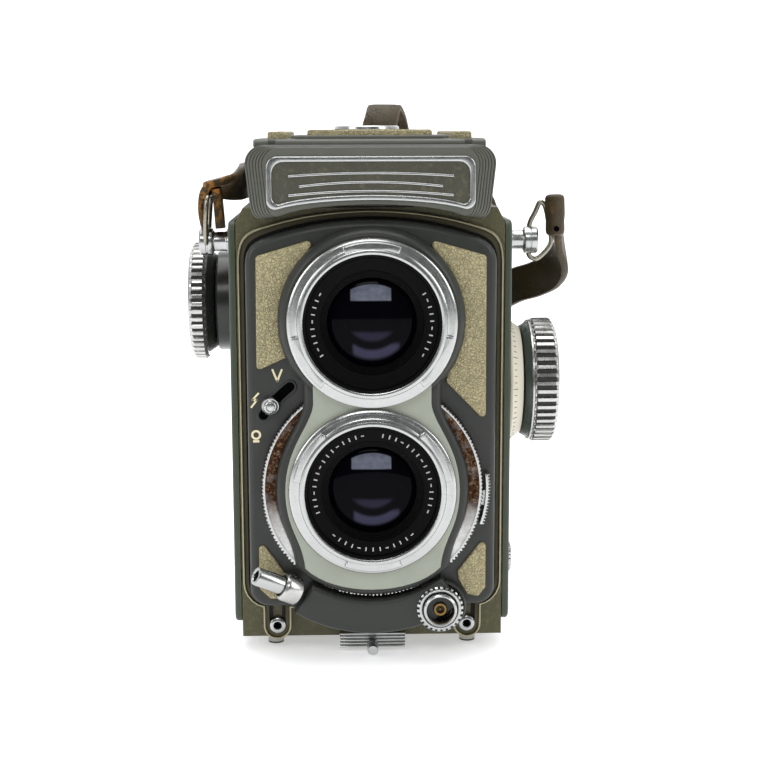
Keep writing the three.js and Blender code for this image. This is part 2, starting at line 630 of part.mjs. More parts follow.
function lensStandard() {
  const hollow = plateXZ(standardOutline(-1.3), -28.8, STANDARD_BACK + 1);
  const lobe = new THREE.Shape();
  lobe.absarc(0, TAKING_Z, LOBE_R, THREE.MathUtils.degToRad(-128), THREE.MathUtils.degToRad(-52), false);
  const plate = join(
    cut(plateXZ(standardOutline(0), STANDARD_FRONT, STANDARD_BACK), hollow),
    plateXZ(lobe, STANDARD_FRONT, -28.8, 16),
  );
  const followers = [-CAM_X, CAM_X].map((x) => (
    drumY(1.2, -29.4, FOCUS_Y - CAM_LOW - 0.45, x, FOCUS_Z, 16)
  ));
  return join(
    cut(
      plate,
      plateXZ(slot, STANDARD_FRONT - 1, -28, 8),
      drumY(13.4, STANDARD_FRONT - 1, -28, 0, TAKING_Z),
      drumY(12.2, STANDARD_FRONT - 1, -28, 0, VIEWING_Z),
    ),
    ...followers,
  );
}
add("front_standard", "charcoal_paint", lensStandard());

function waistOutline(offset) {
  const shape = new THREE.Shape();
  const waist = 12.7 + offset;
  const bulge = 18.9 + offset;
  const foot = 14.8 + offset;
  shape.moveTo(-waist, 64);
  shape.lineTo(-waist, 58.6);
  shape.bezierCurveTo(-waist - 0.4, 54, -bulge, 49, -bulge, TAKING_Z);
  shape.bezierCurveTo(-bulge, 31, -foot - 0.6, 29, -foot, 22.2);
  shape.bezierCurveTo(-8.5, 15.6 - offset, 8.5, 15.6 - offset, foot, 22.2);
  shape.bezierCurveTo(foot + 0.6, 29, bulge, 31, bulge, TAKING_Z);
  shape.bezierCurveTo(bulge, 49, waist + 0.4, 54, waist, 58.6);
  shape.lineTo(waist, 64);
  return shape;
}

const releaseBase = new THREE.Vector3(-18.0, -32.8, 17.25);
const releaseAxis = new THREE.Vector3(-7.55, -3.2, 4.06).normalize();

function frontHousing() {
  const face = plateXZ(waistOutline(2.0), HOUSING_FRONT, STANDARD_FRONT - GAP, 10);
  const dome = drumY(19.3, HOUSING_FRONT, STANDARD_FRONT - GAP, 0, VIEWING_Z, 40);
  const bulge = new THREE.Shape();
  const from = THREE.MathUtils.degToRad(-122);
  const to = THREE.MathUtils.degToRad(-53);
  bulge.absarc(0, TAKING_Z, LOBE_R, from, to, false);
  bulge.absarc(0, TAKING_Z, 15, to, from, true);
  bulge.closePath();
  const ringSpace = cut(
    drumY(SPEED_R + 0.4, RING_FRONT - GAP, STANDARD_FRONT, 0, TAKING_Z, 48),
    drumY(SPEED_BORE - 0.4, RING_FRONT - 1, STANDARD_FRONT + 1, 0, TAKING_Z, 40),
  );
  return cut(
    join(face, dome, plateXZ(bulge, HOUSING_FRONT, STANDARD_FRONT - GAP, 16)),
    ringSpace,
    drumY(13.3, HOUSING_FRONT - 1, STANDARD_FRONT + 1, 0, TAKING_Z, 40),
    drumY(12.1, HOUSING_FRONT - 1, STANDARD_FRONT + 1, 0, VIEWING_Z, 40),
    drumY(5.5, HOUSING_FRONT - 1, STANDARD_FRONT + 1, SOCKET_X, SOCKET_Z, 36),
    drumAlong(3.5, releaseBase, releaseAxis, -4, 4),
  );
}
add("front_housing", "charcoal_paint", frontHousing());

add("escutcheon", "silver_paint", cut(
  plateXZ(waistOutline(0), HOUSING_FRONT - 0.9, HOUSING_FRONT - GAP, 10),
  drumY(13.3, -36, -33, 0, TAKING_Z, 40),
  drumY(RING_R + GAP, -36, -33, 0, VIEWING_Z, 40),
));

// Leather patches, each a polygon with a lens circle cut out of it.
const patches = {
  leather_upper_left: [[-25.0, 66.0], [-24.7, 90.0], [-13.4, 93.3], [-9.0, 90.0], [-17.0, 70.0]],
  leather_upper_right: [[25.0, 54.5], [16.2, 62.6], [19.0, 72.0], [9.0, 90.0], [13.4, 93.3], [24.7, 90.0]],
  leather_lower_left: [[-25.0, 27.8], [-18.0, 18.5], [-18.2, 14.2], [-22.6, 14.2], [-25.0, 16.6]],
  leather_lower_right: [[25.0, 27.8], [18.6, 20.4], [18.8, 18.2], [20.9, 14.6], [23.4, 14.2], [25.0, 16.4]],
};
for (const [name, outline] of Object.entries(patches)) {
  const upper = name.includes("upper");
  const patch = plateXZ(polygon(outline), STANDARD_FRONT - 0.9, STANDARD_FRONT - GAP);
  const tools = [drumY(SPEED_R + 2.0, -33, -28, 0, TAKING_Z, 48)];
  if (upper) tools.push(drumY(20.3, -33, -28, 0, VIEWING_Z, 40));
  else tools.push(drumY(5.6, -33, -28, SOCKET_X, SOCKET_Z, 36));
  if (name === "leather_lower_left") tools.push(drumAlong(3.6, releaseBase, releaseAxis, -4, 12));
  if (name === "leather_upper_left") tools.push(drumY(3.0, -33, -28, ...polar(SLOT_R, SLOT_FROM - 2), 24));
  add(name, "leatherette", cut(patch, ...tools));
}

// Lens barrels: bayonet ring in front, a narrow neck through the standard.
function barrel(z, front, neck, rear) {
  const seat = HOUSING_FRONT - 1.2;
  const ring = turnedY([
    [GLASS_R + 0.4, rear], [neck, rear], [neck, seat], [RING_R - 0.5, seat], [RING_R, seat - 0.6],
    [RING_R, front + 1.9], [RING_R - 0.8, front + 1.4], [15.9, front + 1.4], [15.9, front + 0.5],
    [15.1, front], [14.6, front], [14.2, front + 0.9], [GLASS_R + 0.4, front + 2.4],
  ], 0, z, 40);
  const lugs = [];
  const start = z === TAKING_Z ? 270 : 90;
  for (let i = 0; i < 3; i++) {
    const middle = start + 120 * i;
    const lug = sector(15.6, 17.2, middle - 22, middle + 22, 0, z);
    lugs.push(plateXZ(lug, front + 0.4, front + 1.8, 5));
  }
  return join(ring, ...lugs);
}
const VIEWING_FRONT = -38.6;
const TAKING_FRONT = -37.4;
add("viewing_barrel", "satin_chrome", barrel(VIEWING_Z, VIEWING_FRONT, 11.9, -26.6));
add("taking_barrel", "satin_chrome", barrel(TAKING_Z, TAKING_FRONT, 13.0, -28.6));

function lensCell(z, front, rear) {
  return turnedY([
    [0, rear], [GLASS_R, rear], [GLASS_R, front + 2.6], [9.4, front + 2.6], [7.0, front + 2.0],
    [3.6, front + 1.6], [0, front + 1.5],
  ], 0, z, 32);
}
add("viewing_lens_glass", "coated_glass", lensCell(VIEWING_Z, VIEWING_FRONT, -26.8));
add("taking_lens_glass", "coated_glass", lensCell(TAKING_Z, TAKING_FRONT, -28.8));

// Shutter case with the rear lens cell; the synchroniser lever turns between it and the standard.
add("shutter_case", "black_metal", turnedY([
  [0, -27.0], [21.0, -27.0], [21.0, -24.5], [9.8, -24.5], [9.8, -20.4], [7.0, -18.6], [0, -18.6],
], 0, TAKING_Z, 32));

add("shutter_ring", "satin_chrome", (() => {
  const shape = polygon(toothed(SPEED_R - 0.4, SPEED_R, 72, 0, TAKING_Z));
  return cut(
    plateXZ(shape, RING_FRONT, RING_BACK),
    drumY(SPEED_BORE, RING_FRONT - 1, RING_BACK + 1, 0, TAKING_Z, 48),
  );
})());

function apertureLever() {
  const teeth = toothed(25.3, 25.75, 14, 0, TAKING_Z, -19, 7.4);
  for (let i = 0; i <= 8; i++) teeth.push(polar(24.7, 7.4 - (26.4 * i) / 8));
  return join(
    cut(
      drumY(21.2, -30.9, STANDARD_FRONT - GAP, 0, TAKING_Z, 40),
      drumY(19.8, -32, -29, 0, TAKING_Z, 40),
    ),
    plateXZ(sector(20.6, 25.2, -10, -2, 0, TAKING_Z), -30.9, STANDARD_FRONT - GAP, 4),
    plateXZ(polygon(teeth), -32.7, STANDARD_FRONT - GAP),
  );
}
add("aperture_lever", "satin_chrome", apertureLever());

function syncLever() {
  const [x, z] = polar(SLOT_R, SYNC_AT);
  return join(
    cut(
      drumY(16.0, -28.3, -27.4, 0, TAKING_Z, 48),
      drumY(13.5, -29, -27, 0, TAKING_Z, 48),
    ),
    plateXZ(sector(14.5, SLOT_R + 0.9, SYNC_AT - 3, SYNC_AT + 3, 0, TAKING_Z), -28.3, -27.4, 4),
    drumY(0.9, -31.2, -27.8, x, z, 20),
    turnedY([[0, -30.9], [2.0, -30.9], [2.0, -31.8], [1.4, -32.4], [0, -32.5]], x, z, 28),
  );
}
add("sync_lever", "satin_chrome", syncLever());

add("flash_socket", "satin_chrome", join(
  cut(
    drumY(3.7, -35.4, STANDARD_FRONT - GAP, SOCKET_X, SOCKET_Z, 36),
    drumY(2.8, -36, -32.2, SOCKET_X, SOCKET_Z, 32),
  ),
  cut(
    drumY(1.4, -34.4, -32, SOCKET_X, SOCKET_Z, 24),
    drumY(0.6, -35, -33, SOCKET_X, SOCKET_Z, 16),
  ),
));
add("flash_lock_ring", "satin_chrome", cut(
  plateXZ(polygon(toothed(4.75, 5.2, 24, SOCKET_X, SOCKET_Z)), -34.4, -31.6),
  drumY(4.0, -35, -31, SOCKET_X, SOCKET_Z, 40),
));

add("release_collar", "satin_chrome", cut(
  drumAlong(3.2, releaseBase, releaseAxis, -1.6, 2.5),
  drumAlong(2.35, releaseBase, releaseAxis, -6, 8),
  block(-30, 0, STANDARD_FRONT - GAP, -20, 0, 40),
));
add("release_button", "satin_chrome", cut(
  drumAlong(2.05, releaseBase, releaseAxis, 1.2, 9.15),
  drumAlong(1.2, releaseBase, releaseAxis, 6.6, 10, 20),
));

// ---------- folding hood ----------
// A plate lying flat: a shape drawn in x and y, from z0 to z1.
function plateXY(shape, z0, z1, curveSegments = 6) {
  const geometry = new THREE.ExtrudeGeometry(shape, { depth: z1 - z0, bevelEnabled: false, curveSegments });
  return geometry.translate(0, 0, z0);
}

add("hood_lid", "grey_paint", join(
  plateXY(
    roundedRect(-HOOD_HALF + 0.2, HOOD_HALF - 0.2, HOOD_FRONT + 1.2, HOOD_REAR - 0.2, 2),
    HOOD_TOP + GAP, LID_TOP),
  plateXY(roundedRect(-17.2, 17.2, HOOD_FRONT + 1.6, 29.6, 1.5), LID_TOP - 0.2, LID_TOP + 0.7),
  block(-20.4, 20.4, LID_AXIS_Y, HOOD_FRONT + 2, LID_AXIS_Z - 0.6, LID_AXIS_Z + 0.9),
  drumX(1.0, -20.4, 20.4, LID_AXIS_Y, LID_AXIS_Z, 20),
));
add("hood_lid_leather", "leatherette", plateXY(
  roundedRect(-13.6, 13.6, HOOD_FRONT + 2.4, 28.8, 1.2), LID_TOP + 1.0, LID_TOP + 1.9,
));
add("hood_badge", "satin_chrome", drumZ(7.8, LID_TOP + 2.2, LID_TOP + 2.8, 0, 15, 40));
add("magnifier", "black_metal", drumZ(8.2, HOOD_TOP - 2.0, HOOD_TOP, 0, -9, 32));

// Corners of the folding walls are cut back along an astroid, so they clear each other as they rise.
function clearance(reach, drop) {
  return Math.pow(Math.max(Math.cbrt(reach * reach) - Math.cbrt(drop * drop), 0), 1.5);
}

for (const side of [-1, 1]) {
  const steps = 6;
  const front = [];
  const rear = [];
  for (let i = 0; i <= steps; i++) {
    const reach = (FLAP_REACH * i) / steps;
    const x = side * (FLAP_AXIS_X - reach);
    front.push([x, HOOD_FRONT + HOOD_WALL + 0.5 + clearance(reach, 7.4)]);
    rear.unshift([x, HOOD_REAR - HOOD_WALL - 3.4 - clearance(reach, 4.6)]);
  }
  const wall = plateXY(polygon([...front, ...rear]), FLAP_AXIS_Z - SHEET / 2, FLAP_AXIS_Z + SHEET / 2);
  add(side > 0 ? "hood_wall_right" : "hood_wall_left", "grey_paint", wall);
}
add("hood_wall_back", "grey_paint", plateXY(
  roundedRect(-22.4, 22.4, BACK_AXIS_Y - BACK_REACH, BACK_AXIS_Y, 0.6),
  BACK_AXIS_Z - SHEET / 2, BACK_AXIS_Z + SHEET / 2,
));

// ---------- neck strap ----------
// A flat ribbon through the stops of a route: [x, y, z, nx, ny, nz], with its thickness along n.
function ribbon(route, steps) {
  const through = (vectors) => new THREE.CatmullRomCurve3(vectors, false, "centripetal");
  const path = through(route.map((s) => new THREE.Vector3(s[0], s[1], s[2])));
  const facing = through(route.map((s) => new THREE.Vector3(s[3], s[4], s[5])));
  const geometry = new THREE.BoxGeometry(STRAP_WIDTH, STRAP_THICK, 1, 1, 1, steps);
  const position = geometry.attributes.position;
  for (let i = 0; i < position.count; i++) {
    const share = position.getZ(i) + 0.5;
    const along = path.getTangent(share);
    const up = facing.getPoint(share);
    up.addScaledVector(along, -up.dot(along)).normalize();
    const across = new THREE.Vector3().crossVectors(up, along);
    const point = path.getPoint(share)
      .addScaledVector(across, position.getX(i))
      .addScaledVector(up, position.getY(i));
    position.setXYZ(i, point.x, point.y, point.z);
  }
  return geometry;
}

// From above the left bail, along the hood, up into a standing loop, and down beyond the door's path.
const leftRoute = [
  [-36.4, -6, 104.4, 1, 0, -0.2], [-34.2, -5, 107.0, 0.8, 0.2, -0.6], [-31.0, 2, 105.6, 0.95, 0.2, -0.3],
  [-29.6, 12, 104.6, 1, 0, 0], [-29.2, 24, 104.6, 1, 0, 0], [-26.5, 36, 105.2, 0.8, -0.6, 0],
  [-18, 42.4, 105.4, 0.1, -1, 0], [-7, 43.2, 107.0, 0, -1, 0], [1.0, 44.4, 112.0, -0.1, -1, 0.1],
  [3.6, 47.0, 118.4, 0, -0.9, 0.4], [4.2, 51.5, 122.2, 0, -0.1, 1], [5.0, 57.0, 119.6, 0, 0.7, 0.7],
  [8.0, 60.5, 113.0, 0.1, 1, 0.3], [15.5, 63.5, 107.5, 0.2, 0.9, 0.5], [25, 65, 104.0, 0.3, 0.6, 0.75],
  [33.2, 67, 99.0, 0.75, 0.2, 0.65], [37.4, 71, 88, 1, 0, 0.2],
  [38.6, 80, 62, 1, 0, 0], [39.4, 94, 30, 1, 0, 0], [40, 106, 11.5, 1, 0, 0], [40, 117, 5.4, 1, 0, 0],
  [38.4, 126, 4.9, 0.8, 0.6, 0], [34.6, 129.8, 4.9, 0.2, 1, 0], [30.7, 130, 4.9, 0, 1, 0],
];
// From the right bail, back along the wall above the focusing knob, and down to the floor.
const rightRoute = [
  [42.8, -4.2, 95.4, 1, 0, 0.2], [44.6, 0, 91.5, 1, -0.3, 0.2], [45.9, 5, 87.0, 1, 0, 0.2],
  [44.8, 11, 83.0, 0.9, 0.4, 0.15], [41.6, 17.5, 80.2, 0.7, 0.7, 0.1], [37.6, 24.5, 78.0, 0.8, 0.6, 0.1],
  [35.2, 33, 74.5, 1, 0.2, 0], [35.0, 42, 66, 1, 0, 0], [35.0, 52, 48, 1, 0, 0], [35.2, 66, 25, 1, 0, 0],
  [35.2, 82, 10.5, 1, 0, 0], [34.6, 96, 5.4, 1, 0.05, 0], [32.6, 106, 4.9, 0.9, 0.4, 0],
  [27, 111.2, 4.9, 0.3, 0.95, 0], [20.5, 112.2, 4.9, 0.2, 1, 0], [17, 114.0, 4.9, 0.8, 0.6, 0],
  [16, 117.7, 4.9, 1, 0, 0],
];
add("neck_strap_left", "strap_leather", ribbon(leftRoute, 72));
add("neck_strap_right", "strap_leather", ribbon(rightRoute, 52));
add("neck_strap_coil", "strap_leather", plateXY(roundedRect(-30, 30, 118, 142, 12), 0.3, 9.3, 6));

export default camera;
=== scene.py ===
"""Looks of a small twin lens reflex camera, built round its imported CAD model. Helpers work in millimetres."""

import json
import math

import bmesh
import bpy
from mathutils import Matrix, Vector


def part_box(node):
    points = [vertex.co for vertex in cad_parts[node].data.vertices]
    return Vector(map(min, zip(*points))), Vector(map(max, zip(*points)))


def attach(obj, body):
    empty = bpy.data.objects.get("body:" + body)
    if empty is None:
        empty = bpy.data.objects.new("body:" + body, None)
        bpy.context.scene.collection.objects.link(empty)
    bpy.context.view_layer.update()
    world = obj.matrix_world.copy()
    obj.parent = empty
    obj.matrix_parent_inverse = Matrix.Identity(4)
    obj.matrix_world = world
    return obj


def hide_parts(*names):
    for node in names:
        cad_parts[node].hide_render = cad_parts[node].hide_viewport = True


MM = 0.001
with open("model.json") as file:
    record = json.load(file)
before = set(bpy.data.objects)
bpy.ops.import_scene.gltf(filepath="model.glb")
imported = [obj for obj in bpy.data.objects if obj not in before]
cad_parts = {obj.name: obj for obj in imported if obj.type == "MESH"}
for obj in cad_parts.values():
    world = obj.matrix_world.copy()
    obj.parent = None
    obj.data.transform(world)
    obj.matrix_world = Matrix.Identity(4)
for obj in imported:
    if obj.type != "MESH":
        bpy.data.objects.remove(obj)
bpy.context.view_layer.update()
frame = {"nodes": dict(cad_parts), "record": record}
nodes = frame["nodes"]
scene = bpy.context.scene


def box_mm(node):
    """Lowest and highest corner of a CAD node, in millimetres."""
    low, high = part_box(node)
    return low / MM, high / MM


def middle_mm(node):
    low, high = box_mm(node)
    return (low + high) / 2


def width_mm(node, axis=0):
    low, high = box_mm(node)
    return (high - low)[axis]


# ---------- camera ----------
EYE = Vector((-7.039, -352.587, 116.644))
YAW, PITCH, ROLL = 0.030, 0.167, -0.003
LENS_MM = 70.74
SENSOR_MM = 36.0


def make_camera():
    forward = Vector((math.sin(YAW) * math.cos(PITCH), math.cos(YAW) * math.cos(PITCH), -math.sin(PITCH)))
    level = Vector((math.cos(YAW), -math.sin(YAW), 0.0))
    upright = level.cross(forward)
    right = level * math.cos(ROLL) + upright * math.sin(ROLL)
    up = upright * math.cos(ROLL) - level * math.sin(ROLL)
    data = bpy.data.cameras.new("camera")
    data.lens = LENS_MM
    data.sensor_width = SENSOR_MM
    data.clip_start = 0.01
    data.clip_end = 20.0
    camera = bpy.data.objects.new("camera", data)
    scene.collection.objects.link(camera)
    turn = Matrix((right, up, -forward)).transposed()
    camera.matrix_world = Matrix.Translation(EYE * MM) @ turn.to_4x4()
    scene.camera = camera


make_camera()


# ---------- mesh helpers ----------
def mesh_object(name, bm):
    """Turns a bmesh in millimetres into a smooth shaded object of the scene."""
    mesh = bpy.data.meshes.new(name)
    bm.transform(Matrix.Scale(MM, 4))
    bm.to_mesh(mesh)
    bm.free()
    mesh.polygons.foreach_set("use_smooth", [True] * len(mesh.polygons))
    made = bpy.data.objects.new(name, mesh)
    scene.collection.objects.link(made)
    return made


def make_object(name, bm, body, slot, replaces=(), material=None, sharp=32):
    """Makes a piece that rides on a body; its material is the slot's own unless another is given."""
    bmesh.ops.remove_doubles(bm, verts=bm.verts, dist=1e-4)
    bmesh.ops.recalc_face_normals(bm, faces=bm.faces)
    piece = mesh_object(name, bm)
    piece.data.set_sharp_from_angle(angle=math.radians(sharp))
    piece.data.materials.append(material or looks[slot])
    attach(piece, body)
    if replaces:
        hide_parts(*replaces)
    return piece


def basis(origin, normal, upward=(0, 0, 1)):
    """Matrix that takes x to the side, y upward and z along the normal."""
    z = Vector(normal).normalized()
    x = Vector(upward).cross(z)
    if x.length < 1e-6:
        x = Vector((0, 1, 0)).cross(z)
    x.normalize()
    turn = Matrix((x, z.cross(x), z)).transposed().to_4x4()
    return Matrix.Translation(Vector(origin)) @ turn


def add_rings(bm, rings, loop=False):
    """Skins a list of rings, each a list of points with the same count, and closes its two ends."""
    made = [[bm.verts.new(p) for p in ring] for ring in rings]
    count = len(made[0])
    pairs = list(zip(made, made[1:]))
    if loop:
        pairs.append((made[-1], made[0]))
    for low, high in pairs:
        for i in range(count):
            j = (i + 1) % count
            bm.faces.new((low[i], low[j], high[j], high[i]))
    if not loop:
        bm.faces.new(list(reversed(made[0])))
        bm.faces.new(made[-1])


def turned(bm, profile, at, segments=96, closed=False, wave=None):
    """Turns a profile of [radius, height] round the matrix's z axis; wave(angle, index) changes a radius."""
    rings = []
    for index, (radius, height) in enumerate(profile):
        ring = []
        for i in range(segments):
            angle = 2 * math.pi * i / segments
            r = max(radius, 0.002) + (wave(angle, index) if wave else 0.0)
            ring.append(at @ Vector((r * math.cos(angle), r * math.sin(angle), height)))
        rings.append(ring)
    add_rings(bm, rings, loop=closed)


def rod(radius, low, high, hole=0):
    """Profile of a cylinder, or of a tube when it has a hole."""
    return [(hole, low), (radius, low), (radius, high), (hole, high)]


def offset_outline(points, amount):
    """Moves a closed outline inwards along its corner bisectors; it runs anticlockwise."""
    moved = []
    count = len(points)
    for i in range(count):
        before, here, after = points[i - 1], points[i], points[(i + 1) % count]
        first = (here - before).normalized()
        second = (after - here).normalized()
        n1 = Vector((-first.y, first.x))
        normal = n1 + Vector((-second.y, second.x))
        if normal.length < 1e-6:
            normal = n1
        normal.normalize()
        moved.append(here + normal * (amount / max(normal.dot(n1), 0.35)))
    return moved


def flat_outline(points):
    return [Vector((p[0], p[1])) for p in points]


def raised(outline, at, height, inset=0.0):
    """The outline in space, at a height over the matrix's plane, drawn in by inset."""
    shifted = offset_outline(outline, inset) if inset else outline
    return [at @ Vector((p.x, p.y, height)) for p in shifted]


def edge_layers(front, edge, steps):
    """Height and inset of each layer of a rounded front edge."""
    angles = [math.pi / 2 * i / steps for i in range(steps + 1)]
    return [(front - edge + edge * math.sin(a), edge * (1 - math.cos(a))) for a in angles]


def slab(bm, outline, at, back, front, edge=0.3, back_edge=0.0, steps=3):
    """A plate with a rounded front edge: the outline lies in the matrix's x and y, its thickness along z."""
    outline = flat_outline(outline)
    layers = [(back, back_edge), (back + back_edge, 0.0)] if back_edge else [(back, 0.0)]
    add_rings(bm, [raised(outline, at, *layer) for layer in layers + edge_layers(front, edge, steps)])


def holed_slab(bm, outline, at, back, front, edge, radius, steps=3):
    """A plate with one round hole about the taking axis; the outline is seen whole from the hole's centre."""
    outline = flat_outline(outline)
    middle = Vector((0, TAKING_Z))
    hole = [middle + (p - middle).normalized() * radius for p in outline]
    rings = [raised(hole, at, back), raised(outline, at, back)]
    rings += [raised(outline, at, *layer) for layer in edge_layers(front, edge, steps)]
    add_rings(bm, rings + [raised(hole, at, front)], loop=True)


def ring_slab(bm, outer, inner, at, back, front, edge):
    """Frame between two matching outlines with rounded front edges."""
    outer, inner = flat_outline(outer), flat_outline(inner)
    layers = edge_layers(front, edge, 3)
    rings = [raised(outer, at, back)] + [raised(outer, at, *layer) for layer in layers]
    rings += [raised(inner, at, height, -inset) for height, inset in reversed(layers)]
    add_rings(bm, rings + [raised(inner, at, back)], loop=True)


def lathe(name, body, slot, profile, at, segments=96, replaces=(), material=None, sharp=32, **more):
    """A turned piece."""
    bm = bmesh.new()
    turned(bm, profile, at, segments, **more)
    return make_object(name, bm, body, slot, replaces, material, sharp)


def plate(name, body, slot, outline, at, back, front, replaces=(), material=None, **more):
    """A piece that is one slab."""
    bm = bmesh.new()
    slab(bm, outline, at, back, front, **more)
    return make_object(name, bm, body, slot, replaces, material)


def border(name, body, slot, outer, inner, back, front, edge, replaces=(), material=None):
    """A piece that is one frame between two outlines, facing forwards."""
    bm = bmesh.new()
    ring_slab(bm, outer, inner, FACE, back, front, edge)
    return make_object(name, bm, body, slot, replaces, material)


def curved(points, radius, steps=5):
    """Rounds the corners of a closed outline."""
    points = flat_outline(points)
    made = []
    count = len(points)
    for i, here in enumerate(points):
        before = points[i - 1] - here
        after = points[(i + 1) % count] - here
        angle = before.angle(after)
        if abs(angle - math.pi) < 0.02:
            made.append(here)
            continue
        reach = min(radius / math.tan(angle / 2), before.length * 0.49, after.length * 0.49)
        real = reach * math.tan(angle / 2)
        centre = here + (before.normalized() + after.normalized()).normalized() * (real / math.sin(angle / 2))
        start = here + before.normalized() * reach - centre
        end = here + after.normalized() * reach - centre
        turn = math.atan2(start.x * end.y - start.y * end.x, start.dot(end))
        for k in range(steps + 1):
            c, s = math.cos(turn * k / steps), math.sin(turn * k / steps)
            made.append(centre + Vector((start.x * c - start.y * s, start.x * s + start.y * c)))
    return made


def bezier(a, b, c, d, steps):
    """Points of a cubic curve, without its first point."""
    made = []
    for i in range(1, steps + 1):
        t = i / steps
        u = 1 - t
        parts = u ** 3, 3 * u * u * t, 3 * u * t * t, t ** 3
        made.append(tuple(sum(p * q[k] for p, q in zip(parts, (a, b, c, d))) for k in range(2)))
    return made


def mirrored(points):
    """The points, then the same points at the other side in reverse."""
    return points + [(-x, z) for x, z in reversed(points)]


def arc(cx, cy, radius, start, end, steps=12):
    """Points of an arc, in degrees."""
    angles = [math.radians(start + (end - start) * i / steps) for i in range(steps + 1)]
    return [(cx + radius * math.cos(a), cy + radius * math.sin(a)) for a in angles]


def tube(bm, points, radius, segments, loop=False):
    """A round wire through points."""
    points = [Vector(p) for p in points]
    count = len(points)
    rings = []
    side = None
    for i, here in enumerate(points):
        before = points[i - 1] if (i > 0 or loop) else here
        after = points[(i + 1) % count] if (i < count - 1 or loop) else here
        along = (after - before).normalized()
        side = side or along.orthogonal().normalized()
        side = (side - along * side.dot(along)).normalized()
        other = along.cross(side)
        angles = [2 * math.pi * k / segments for k in range(segments)]
        rings.append([here + (side * math.cos(a) + other * math.sin(a)) * radius for a in angles])
    add_rings(bm, rings, loop=loop)


def spline(points, steps, closed=False):
    """Catmull-Rom points, centripetal, through a list of vectors."""
    points = [Vector(p) for p in points]
    count = len(points)
    made = []
    for k in range(count if closed else count - 1):
        if closed:
            p0, p1, p2, p3 = (points[(k + j - 1) % count] for j in range(4))
        else:
            p1, p2 = points[k], points[k + 1]
            p0 = points[k - 1] if k > 0 else p1 * 2 - p2
            p3 = points[k + 2] if k + 2 < count else p2 * 2 - p1
        t1 = max((p1 - p0).length, 1e-6) ** 0.5
        t2 = t1 + max((p2 - p1).length, 1e-6) ** 0.5
        t3 = t2 + max((p3 - p2).length, 1e-6) ** 0.5
        for i in range(steps):
            t = t1 + (t2 - t1) * i / steps
            a1 = p0 * ((t1 - t) / t1) + p1 * (t / t1)
            a2 = p1 * ((t2 - t) / (t2 - t1)) + p2 * ((t - t1) / (t2 - t1))
            a3 = p2 * ((t3 - t) / (t3 - t2)) + p3 * ((t - t2) / (t3 - t2))
            b1 = a1 * ((t2 - t) / t2) + a2 * (t / t2)
            b2 = a2 * ((t3 - t) / (t3 - t1)) + a3 * ((t - t1) / (t3 - t1))
            made.append(b1 * ((t2 - t) / (t2 - t1)) + b2 * ((t - t1) / (t2 - t1)))
    if not closed:
        made.append(points[-1])
    return made


